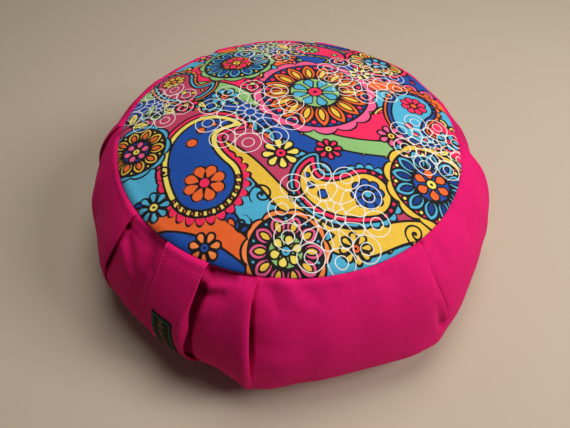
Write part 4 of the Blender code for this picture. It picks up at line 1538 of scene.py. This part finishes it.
def places_round(section, deepest):
    """Each point's distance round the cloth, counted from the middle of its own panel."""
    steps = np.linalg.norm(np.diff(section, axis=1)[..., :2], axis=-1)
    run = np.concatenate([np.zeros((len(section), 1)), np.cumsum(steps, axis=1)], axis=1)
    for index, start in enumerate(deepest):
        end = deepest[index + 1] if index + 1 < len(deepest) else run.shape[1]
        middle = (start + end) // 2
        run[:, start:end] -= run[:, middle:middle + 1]
        run[:, start:end] += PANEL_APART * index
    run[:, :deepest[0]] += PANEL_APART * (len(deepest) - 1)
    return run


class CUSHION_OT_side_band(bpy.types.Operator):
    """Make the pleated side band over its filling"""

    bl_idname = "cushion.side_band"
    bl_label = "Side Band"

    def execute(self, context):
        sizes = context.scene.cushion_sizes
        drops = wall_drops()
        section, deepest = wall_section(drops)
        drop = np.repeat(drops[:, None], section.shape[1], axis=1)
        distance = distance_down(drop)
        azimuth = np.degrees(section[..., 0] / profile(drop)[0])
        uneven = FILLING_SHARE * sizes.unevenness * filling_waves(azimuth, distance, drop)
        lift = pressed_by_strap(azimuth, drop, section[..., 1] + uneven)
        creases, painted_crease_shade = crease_lift(azimuth, drop)
        lift = lift + creases * beside_strap(azimuth, drop)
        lift = lift + seam_puckers(azimuth, distance, sizes.pucker_depth)
        lift = lift + seam_groove(distance, sizes.seam_depth)
        wall = wall_points(azimuth, drop, lift, least_height(azimuth, drop))

        under_panel = PANEL_THICKNESS + GAP + sizes.seam_depth
        around, edge = azimuth[0], SEAM_RADIUS - GAP
        crown = [tilted(radius + seam_out(around, radius), around, crown_height(radius) - under_panel)
                 for radius in reversed(CROWN_RINGS)]
        crown.append(tilted(edge + seam_out(around, edge), around, SEAM_HEIGHT - under_panel))
        base = [tilted(BASE_RADIUS - GAP, azimuth[-1], PANEL_THICKNESS + GAP)]
        rows = np.concatenate([np.stack(crown), wall, np.stack(base)])
        centres = [[0, 0, crown_height(0.0) - under_panel], [0, 0, PANEL_THICKNESS + GAP]]
        band = add_turned_form("pleated_side_band", rows, centres, canvas_material(context))

        places = np.stack([places_round(section, deepest), distance], axis=-1)
        before = np.zeros((len(crown), wall.shape[1], 2))
        add_places(band, np.concatenate([before, places]))
        # Painted shade of the folds, the hollow beside the strap and the creases, stored for the canvas.
        inner = np.maximum(np.maximum(section[..., 2], painted_shade_beside_strap(azimuth, drop)), painted_crease_shade)
        inner = np.concatenate([before[..., 0], np.clip(inner, 0, 1)])
        add_numbers(band, "inner_depth", inner.ravel())
        place_piece(band, "magenta_canvas", "side_band")
        return {"FINISHED"}


# The top's share of the seam's gathers and of the unevenness, with its waves' seed, number and lengths.
TOP_GATHERS = 0.8
TOP_UNEVENNESS = 0.5
TOP_WAVES_START = 0.03
TOP_WAVES_SEED = 11
TOP_WAVES_COUNT = 16
TOP_WAVES_LENGTHS = (0.030, 0.085)
# The most that the print's distances are stored as, in millimetres.
INK_REACH = 2
FINE_LINE_REACH = 4


class CUSHION_OT_top_panel(bpy.types.Operator):
    """Make the domed printed round"""

    bl_idname = "cushion.top_panel"
    bl_label = "Printed Top"

    def execute(self, context):
        sizes = context.scene.cushion_sizes
        cells = sizes.print_cells
        edge = SEAM_RADIUS - 2 * GAP
        ticks = np.linspace(-1, 1, cells + 1)
        across, ahead = np.meshgrid(ticks, ticks)
        wide = np.abs(across) > np.abs(ahead)
        reach = np.where(wide, across, ahead)
        safe = np.where(reach == 0, 1.0, reach)
        turn = np.where(wide, ahead / safe, 2 - across / safe) * math.pi / 4
        radius = np.abs(reach) * edge
        x = reach * edge * np.cos(turn)
        y = reach * edge * np.sin(turn)
        azimuth = np.degrees(np.arctan2(y, x))
        from_seam = edge - radius
        height = crown_height(radius) + seam_groove(from_seam, sizes.seam_depth)
        height += seam_puckers(azimuth, from_seam, TOP_GATHERS * sizes.pucker_depth)
        height += sizes.unevenness * TOP_UNEVENNESS * self.lumps(x, y) * eased(from_seam / TOP_WAVES_START)
        top = tilted(radius + seam_out(azimuth, radius), azimuth, height).reshape(-1, 3)

        rim = np.concatenate([
            np.arange(cells),
            np.arange(cells) * (cells + 1) + cells,
            (cells + 1) * cells + np.arange(cells, 0, -1),
            np.arange(cells, 0, -1) * (cells + 1),
        ])
        rim_azimuth = azimuth.ravel()[rim]
        under = []
        for ring in (edge,) + CROWN_RINGS:
            level = crown_height(ring) - PANEL_THICKNESS
            if ring == edge:
                level = level - sizes.seam_depth
            under.append(tilted(ring + seam_out(rim_azimuth, ring), rim_azimuth, level))
        first = len(top)
        points = np.concatenate([top, np.concatenate(under), [[0, 0, crown_height(0.0) - PANEL_THICKNESS]]])
        faces = grid_faces(cells + 1, cells + 1, closed=False)[:, ::-1].tolist()
        loops = [rim] + [np.arange(len(rim)) + first + k * len(rim) for k in range(len(under))]
        for upper, lower in zip(loops, loops[1:]):
            for k in range(len(rim)):
                after = (k + 1) % len(rim)
                faces.append((upper[k], lower[k], lower[after], upper[after]))
        inner, centre = loops[-1], len(points) - 1
        for k in range(len(rim)):
            faces.append((inner[k], centre, inner[(k + 1) % len(rim)]))
        cloth = paint_print(x.ravel() / MM, y.ravel() / MM)
        material = screen_printed_cotton(context.scene.cushion_colours, sizes)
        panel = add_mesh("printed_top_panel", points, faces, material)
        add_places(panel, np.stack([x, y], axis=-1))
        add_numbers(panel, "ink", np.clip(cloth.ink, -INK_REACH, INK_REACH))
        add_numbers(panel, "fine_line", np.clip(cloth.fine, -FINE_LINE_REACH, FINE_LINE_REACH))
        add_numbers(panel, "fine_line_near", np.clip(np.abs(cloth.fine), 0, FINE_LINE_REACH))
        pigments = np.array([opaque(srgb(PRINT_COLOURS[name])) for name in COLOUR_NAMES], np.float32)
        values = np.tile(pigments[0], (len(panel.data.vertices), 1))
        values[:len(cloth.colour)] = pigments[cloth.colour]
        layer = panel.data.attributes.new("pigment", "FLOAT_COLOR", "POINT")
        layer.data.foreach_set("color", values.ravel())
        place_piece(panel, "printed_canvas", "top_panel")
        return {"FINISHED"}

    def lumps(self, x, y):
        """Slow waves that the loose filling leaves in the top."""
        random = np.random.default_rng(TOP_WAVES_SEED)
        total = np.zeros(x.shape)
        for _ in range(TOP_WAVES_COUNT):
            length = random.uniform(*TOP_WAVES_LENGTHS)
            heading, phase = random.uniform(0, 2 * math.pi, 2)
            total += np.sin(2 * math.pi / length * (x * math.cos(heading) + y * math.sin(heading)) + phase)
        return total / math.sqrt(TOP_WAVES_COUNT)


BASE_RINGS = (0.02, 0.05, 0.08, 0.11, 0.13, 0.139, BASE_RADIUS - 3 * GAP)
BASE_STEP = 2.0


class CUSHION_OT_base_panel(bpy.types.Operator):
    """Make the plain round under the cushion"""

    bl_idname = "cushion.base_panel"
    bl_label = "Base"

    def execute(self, context):
        azimuth = np.arange(0, 360, BASE_STEP)
        upper = [tilted(radius, azimuth, PANEL_THICKNESS) for radius in BASE_RINGS]
        lower = [tilted(radius, azimuth, 0.0) for radius in reversed(BASE_RINGS)]
        rows = np.stack(upper + lower)
        centres = [[0, 0, PANEL_THICKNESS], [0, 0, 0]]
        panel = add_turned_form("plain_base_panel", rows, centres, canvas_material(context))
        add_places(panel, rows[..., :2])
        place_piece(panel, "magenta_canvas", "bottom_panel")
        return {"FINISHED"}


STRAP_CLOTH = 0.0013
STRAP_MARGINS = (
    0.0, 0.00025, 0.0006, 0.0011, 0.0017, 0.0022, 0.0027, 0.0034, 0.0048, 0.0075, 0.0110, 0.0148)
STRAP_SEAM_ROWS = (0.0002, 0.0006, 0.0011, 0.0018, 0.0027)
STRAP_ROWS_START = 0.004
STRAP_ROWS_END = 0.0004
STRAP_ROW_STEP = 0.0016


def strap_across_stations():
    """Places across the strap, close together at its edges and its stitch lines."""
    left = np.array(STRAP_MARGINS)
    return np.concatenate([left, [STRAP_WIDTH / 2], STRAP_WIDTH - left[::-1]]) / STRAP_WIDTH


# The rolled margin: its drop and spread, the width that rolls, and how far it goes out and down; and
# the strap beside it, which is raised from a share of its width on.
ROLL_DROP = 0.71
ROLL_SPREAD = 0.16
ROLL_MARGIN = 0.0013
ROLL_OUT = 0.0046
ROLL_DOWN = 0.0048
ROLL_POWER = 1.5
RAISED = 0.0012
RAISED_START = 0.75
RAISED_GROWTH = 0.15
# The folded edge, which is rounded off, the fuller hem inside it and the furrow of the stitches.
EDGE_WIDTH = 0.0011
EDGE_POWER = 2.2
EDGE_FALL = 0.42
EDGE_THINNING = 0.75
HEM_PLACE = 0.0011
HEM_WIDTH = 0.0007
HEM_HEIGHT = 0.35 * MM
FURROW_WIDTH = 0.0006
FURROW_DEPTH = 0.35 * MM
# The strap's slow ripples, and its way into the top seam.
RIPPLE_HEIGHT = 0.0005
RIPPLE_LENGTH = 0.0105
RIPPLE_LEAN = 3
RIPPLE_START = 0.02
INTO_SEAM_LENGTH = 0.0014
INTO_SEAM_DEPTH = 0.0012


def strap_roll(across, drop):
    """How far the strap's right margin rolls over, where the wall has fallen away from it."""
    into_margin = np.clip(1 + (across - 1) * STRAP_WIDTH / ROLL_MARGIN, 0, 1)
    return into_margin * np.exp(-((drop - ROLL_DROP) / ROLL_SPREAD) ** 2)


def edge_rounding(across):
    """How far a folded edge of the strap is rounded off, from 0 to 1 at its very edge."""
    from_edge = np.minimum(across, 1 - across) * STRAP_WIDTH
    return (1 - np.clip(from_edge / EDGE_WIDTH, 0, 1)) ** EDGE_POWER


def strap_outer_lift(across, drop, sizes):
    """Lift of the strap's worn outer face: rounded edges, stitch furrows, a rolled margin."""
    from_edge = np.minimum(across, 1 - across) * STRAP_WIDTH
    distance = distance_down(drop)
    lift = strap_lift(across, drop)
    lift = lift - EDGE_FALL * STRAP_CLOTH * edge_rounding(across)
    lift = lift - FURROW_DEPTH * np.exp(-((from_edge - sizes.stitch_inset) / FURROW_WIDTH) ** 2)
    lift = lift + HEM_HEIGHT * np.exp(-((from_edge - HEM_PLACE) / HEM_WIDTH) ** 2)
    raised = eased((across - RAISED_START) / RAISED_GROWTH)
    lift = lift + RAISED * np.exp(-((drop - ROLL_DROP) / ROLL_SPREAD) ** 2) * raised
    lift = lift - ROLL_DOWN * strap_roll(across, drop) ** ROLL_POWER
    ripple = np.sin(distance / RIPPLE_LENGTH + RIPPLE_LEAN * across) * np.sin(math.pi * across)
    lift = lift + RIPPLE_HEIGHT * ripple * eased(distance / RIPPLE_START)
    into_seam = np.exp(-distance / INTO_SEAM_LENGTH)
    return lift * (1 - into_seam) - INTO_SEAM_DEPTH * into_seam


def strap_outer_azimuth(across, drop):
    """Azimuth on the strap's outer face, with its rolled margin pushed out."""
    return strap_azimuth(across, drop) + degrees_along(ROLL_OUT * strap_roll(across, drop), drop)


# The strap's least thickness, and what of its cloth is left where it lies on the floor.
STRAP_LEAST = 0.0004
STRAP_PRESSED = 0.8
# The stitches' thread and how far it stands up, and the runs' ends and steps down the strap.
THREAD_RADIUS = 0.36 * MM
THREAD_LIFT = 0.15 * MM
RUN_START = 0.003
RUN_END = 0.02
RUN_STEP = 0.0004


class CUSHION_OT_strap(bpy.types.Operator):
    """Make the strap down the side, with its topstitching"""

    bl_idname = "cushion.strap"
    bl_label = "Strap"

    def execute(self, context):
        sizes = context.scene.cushion_sizes
        shares = strap_across_stations()
        rows = np.arange(STRAP_ROWS_START, LONG_DISTANCES[-1] - STRAP_ROWS_END, STRAP_ROW_STEP)
        distances = np.concatenate([STRAP_SEAM_ROWS, rows])
        across = np.broadcast_to(shares[None, :], (len(distances), len(shares)))
        drop = np.broadcast_to(drop_at(distances)[:, None], across.shape)
        azimuth = strap_outer_azimuth(across, drop)
        outer_lift = strap_outer_lift(across, drop, sizes)
        thickness = STRAP_CLOTH * (1 - EDGE_THINNING * edge_rounding(across))
        inner_lift = np.minimum(outer_lift - thickness, outer_lift - STRAP_LEAST)
        outer = wall_points(azimuth, drop, outer_lift)
        inner = wall_points(azimuth, drop, inner_lift, FLOOR_CLEARANCE + STRAP_PRESSED * STRAP_CLOTH)
        strap = add_thin_sheet("side_strap", outer, inner, canvas_material(context))
        flat_across = np.concatenate([across, across[:, ::-1]], axis=1) * STRAP_WIDTH
        flat_down = np.repeat(distances[:, None], flat_across.shape[1], axis=1)
        add_places(strap, np.stack([flat_across, flat_down], axis=-1))
        place_piece(strap, "magenta_canvas", "carry_strap")

        runs = []
        for inset in (sizes.stitch_inset, STRAP_WIDTH - sizes.stitch_inset):
            at = drop_at(np.arange(RUN_START, LONG_DISTANCES[-1] - RUN_END, RUN_STEP))
            share = np.full(at.shape, inset / STRAP_WIDTH)
            lift = strap_outer_lift(share, at, sizes) + THREAD_LIFT
            runs.append(wall_points(strap_outer_azimuth(share, at), at, lift))
        thread = spun_polyester_thread("strap_thread", srgb("#dc2a71"))
        stitches = add_stitches("strap_topstitching", runs, sizes.stitch_length, THREAD_RADIUS, thread)
        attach(stitches, "root")
        return {"FINISHED"}


# The rings of points along one stitch: how far along it they are, their share of its thickness, and
# how far the thread dips there, in its own radii.
StitchRing = namedtuple("StitchRing", "along thick low")
STITCH_RINGS = (
    StitchRing(along=0.0, thick=0.35, low=0.9),
    StitchRing(along=0.12, thick=0.9, low=0.15),
    StitchRing(along=0.5, thick=1.0, low=0.0),
    StitchRing(along=0.88, thick=0.9, low=0.15),
    StitchRing(along=1.0, thick=0.35, low=0.9),
)
STITCH_SIDES = 6
STITCH_PITCH = 1.28
STITCH_UPWARD = (0, 0, 0.4)


def add_stitches(name, runs, length, radius, material):
    """Rows of single stitches along runs of points, each a short thread that dips at its ends."""
    points, faces = [], []
    for run in runs:
        steps = np.linalg.norm(np.diff(run, axis=0), axis=1)
        travelled = np.concatenate([[0.0], np.cumsum(steps)])
        pitch = length * STITCH_PITCH
        for number in range(int(travelled[-1] / pitch)):
            places = [number * pitch + ring.along * length for ring in STITCH_RINGS]
            spots = np.stack([np.interp(places, travelled, run[:, k]) for k in range(3)], axis=-1)
            heading = spots[-1] - spots[0]
            heading /= np.linalg.norm(heading)
            away = spots[2] * (1, 1, 0)
            away = away / np.linalg.norm(away) + STITCH_UPWARD
            side = np.cross(heading, away)
            side /= np.linalg.norm(side)
            up = np.cross(side, heading)
            first = len(points)
            for spot, ring in zip(spots, STITCH_RINGS):
                for k in range(STITCH_SIDES):
                    turn = 2 * math.pi * k / STITCH_SIDES
                    aside = side * math.cos(turn) + up * math.sin(turn)
                    points.append(spot + radius * (ring.thick * aside - ring.low * up))
            faces += grid_faces(len(STITCH_RINGS), STITCH_SIDES, closed=True, first=first).tolist()
            faces.append([first + k for k in range(STITCH_SIDES)])
            faces.append([len(points) - 1 - k for k in range(STITCH_SIDES)])
    return add_mesh(name, points, faces, material)


# Places across and down the label, close together at its edges, and how its outer face stands up
# from its cloth's rim, with the puff of its middle.
LABEL_EDGE = np.array([0.0, 0.02, 0.05, 0.10])
LABEL_SHARES = np.concatenate([LABEL_EDGE, np.linspace(0.17, 0.83, 12), 1 - LABEL_EDGE[::-1]])
LABEL_ENDS = np.concatenate([LABEL_EDGE, np.linspace(0.16, 0.84, 16), 1 - LABEL_EDGE[::-1]])
LABEL_RIM = 0.35
LABEL_BODY = 0.5
LABEL_ROUNDING = 0.0004
LABEL_PUFF = 0.25 * MM
LABEL_PUFF_START = 0.004
LABEL_CLEARANCE = 0.05 * MM


class CUSHION_OT_label(bpy.types.Operator):
    """Make the woven label on the strap"""

    bl_idname = "cushion.label"
    bl_label = "Label"

    def execute(self, context):
        sizes = context.scene.cushion_sizes
        margin = (1 - sizes.label_width / STRAP_WIDTH) / 2
        shares, ends = LABEL_SHARES, LABEL_ENDS
        start = distance_down(LABEL_TOP_DROP)
        across = np.broadcast_to(margin + (1 - 2 * margin) * shares[None, :], (len(ends), len(shares)))
        down = np.broadcast_to(start + sizes.label_length * ends[:, None], across.shape)
        drop = drop_at(down)
        azimuth = strap_azimuth(across, drop)
        rim = np.minimum(np.minimum(shares, 1 - shares)[None, :] * sizes.label_width,
                         np.minimum(ends, 1 - ends)[:, None] * sizes.label_length)
        seat = strap_outer_lift(across, drop, sizes)
        body = LABEL_RIM + LABEL_BODY * (1 - np.exp(-rim / LABEL_ROUNDING))
        outer_lift = seat + LABEL_THICKNESS * body + LABEL_PUFF * eased(rim / LABEL_PUFF_START)
        outer = wall_points(azimuth, drop, outer_lift)
        inner = wall_points(azimuth, drop, seat + LABEL_CLEARANCE)
        material = damask_label_ribbon(context.scene.cushion_colours, sizes)
        label = add_thin_sheet("woven_label", outer, inner, material)
        beside = np.broadcast_to((shares[None, :] - 0.5) * sizes.label_width, across.shape)
        above = np.broadcast_to((ends[:, None] - 0.5) * sizes.label_length, across.shape)
        flat = np.stack([beside, above], axis=-1)
        add_places(label, np.concatenate([flat, flat[:, ::-1]], axis=1))
        place_piece(label, "woven_label", "label")
        return {"FINISHED"}


# ----------------------------------------
# Stage.

CAMERA_PLACE = (-0.00465, -0.3234, 0.4077)
CAMERA_TURN = 39.29
CAMERA_LENS = 30.0
CAMERA_SENSOR = 36.0
CAMERA_NEAREST = 0.01
FLOOR_SIZE = 3.0
SWEEP_START = 0.9
SWEEP_RADIUS = 0.6
SWEEP_POINTS = 17
ROOM_COLOUR = "#eef0f4"
ROOM_STRENGTH = 0.06

Light = namedtuple("Light", "name place size power colour")
LIGHTS = (
    Light("ceiling_softbox", (0.13, 0.18, 1.28), size=0.75, power=8.9, colour="#fff6ea"),
    Light("right_softbox", (1.02, -0.26, 1.00), size=0.60, power=12.2, colour="#fff8f0"),
)
LIGHTS_AIM = (0.0, 0.0, 0.05)


class CUSHION_OT_stage(bpy.types.Operator):
    """Make the paper sweep, the soft lights and the camera"""

    bl_idname = "cushion.stage"
    bl_label = "Stage"

    def execute(self, context):
        scene = context.scene
        turns = np.linspace(0, math.pi / 2, SWEEP_POINTS)
        back = [SWEEP_START + SWEEP_RADIUS * math.sin(turn) for turn in turns]
        rise = [SWEEP_RADIUS * (1 - math.cos(turn)) for turn in turns]
        outline = [(-FLOOR_SIZE, 0.0)] + list(zip(back, rise)) + [(back[-1], 2 * FLOOR_SIZE)]
        points = [(x, y, z) for y, z in outline for x in (-FLOOR_SIZE, FLOOR_SIZE)]
        faces = [(2 * k, 2 * k + 1, 2 * k + 3, 2 * k + 2) for k in range(len(outline) - 1)]
        paper = add_mesh("paper_sweep", points, faces, rolled_paper(tuple(scene.cushion_colours.floor)))

        for light in LIGHTS:
            data = bpy.data.lights.new(light.name, "AREA")
            data.shape = "DISK"
            data.size = light.size
            data.energy = light.power
            data.color = srgb(light.colour)
            lamp = bpy.data.objects.new(light.name, data)
            lamp.location = light.place
            away = Vector(light.place) - Vector(LIGHTS_AIM)
            lamp.rotation_euler = away.to_track_quat("Z", "Y").to_euler()
            scene.collection.objects.link(lamp)

        world = bpy.data.worlds.new("soft_room")
        world.use_nodes = True
        background = world.node_tree.nodes["Background"]
        background.inputs["Color"].default_value = opaque(srgb(ROOM_COLOUR))
        background.inputs["Strength"].default_value = ROOM_STRENGTH
        scene.world = world
        scene.view_settings.view_transform = "Standard"

        data = bpy.data.cameras.new("photo_view")
        data.lens = CAMERA_LENS
        data.sensor_width = CAMERA_SENSOR
        data.clip_start = CAMERA_NEAREST
        camera = bpy.data.objects.new("photo_view", data)
        camera.location = CAMERA_PLACE
        camera.rotation_euler = (math.radians(CAMERA_TURN), 0.0, 0.0)
        scene.collection.objects.link(camera)
        scene.camera = camera
        return {"FINISHED"}


class CUSHION_PT_panel(bpy.types.Panel):
    """Lists the cushion's pieces and settings in the sidebar"""

    bl_idname = "CUSHION_PT_panel"
    bl_label = "Pleated Floor Cushion"
    bl_space_type = "VIEW_3D"
    bl_region_type = "UI"
    bl_category = "Cushion"

    def draw(self, context):
        layout = self.layout
        for operator in OPERATORS:
            layout.operator(operator.bl_idname)
        for group in (context.scene.cushion_sizes, context.scene.cushion_colours):
            box = layout.box()
            for name in group.__annotations__:
                box.prop(group, name)


OPERATORS = (
    CUSHION_OT_side_band,
    CUSHION_OT_top_panel,
    CUSHION_OT_base_panel,
    CUSHION_OT_strap,
    CUSHION_OT_label,
    CUSHION_OT_stage,
)
CLASSES = (CushionSizes, CushionColours) + OPERATORS + (CUSHION_PT_panel,)


def register():
    for cls in CLASSES:
        bpy.utils.register_class(cls)
    bpy.types.Scene.cushion_sizes = PointerProperty(type=CushionSizes)
    bpy.types.Scene.cushion_colours = PointerProperty(type=CushionColours)


def unregister():
    del bpy.types.Scene.cushion_colours
    del bpy.types.Scene.cushion_sizes
    for cls in reversed(CLASSES):
        bpy.utils.unregister_class(cls)


def main():
    """Dress the cushion."""
    register()
    for operator in OPERATORS:
        group, name = operator.bl_idname.split(".")
        getattr(getattr(bpy.ops, group), name)()


if __name__ == "__main__":
    main()
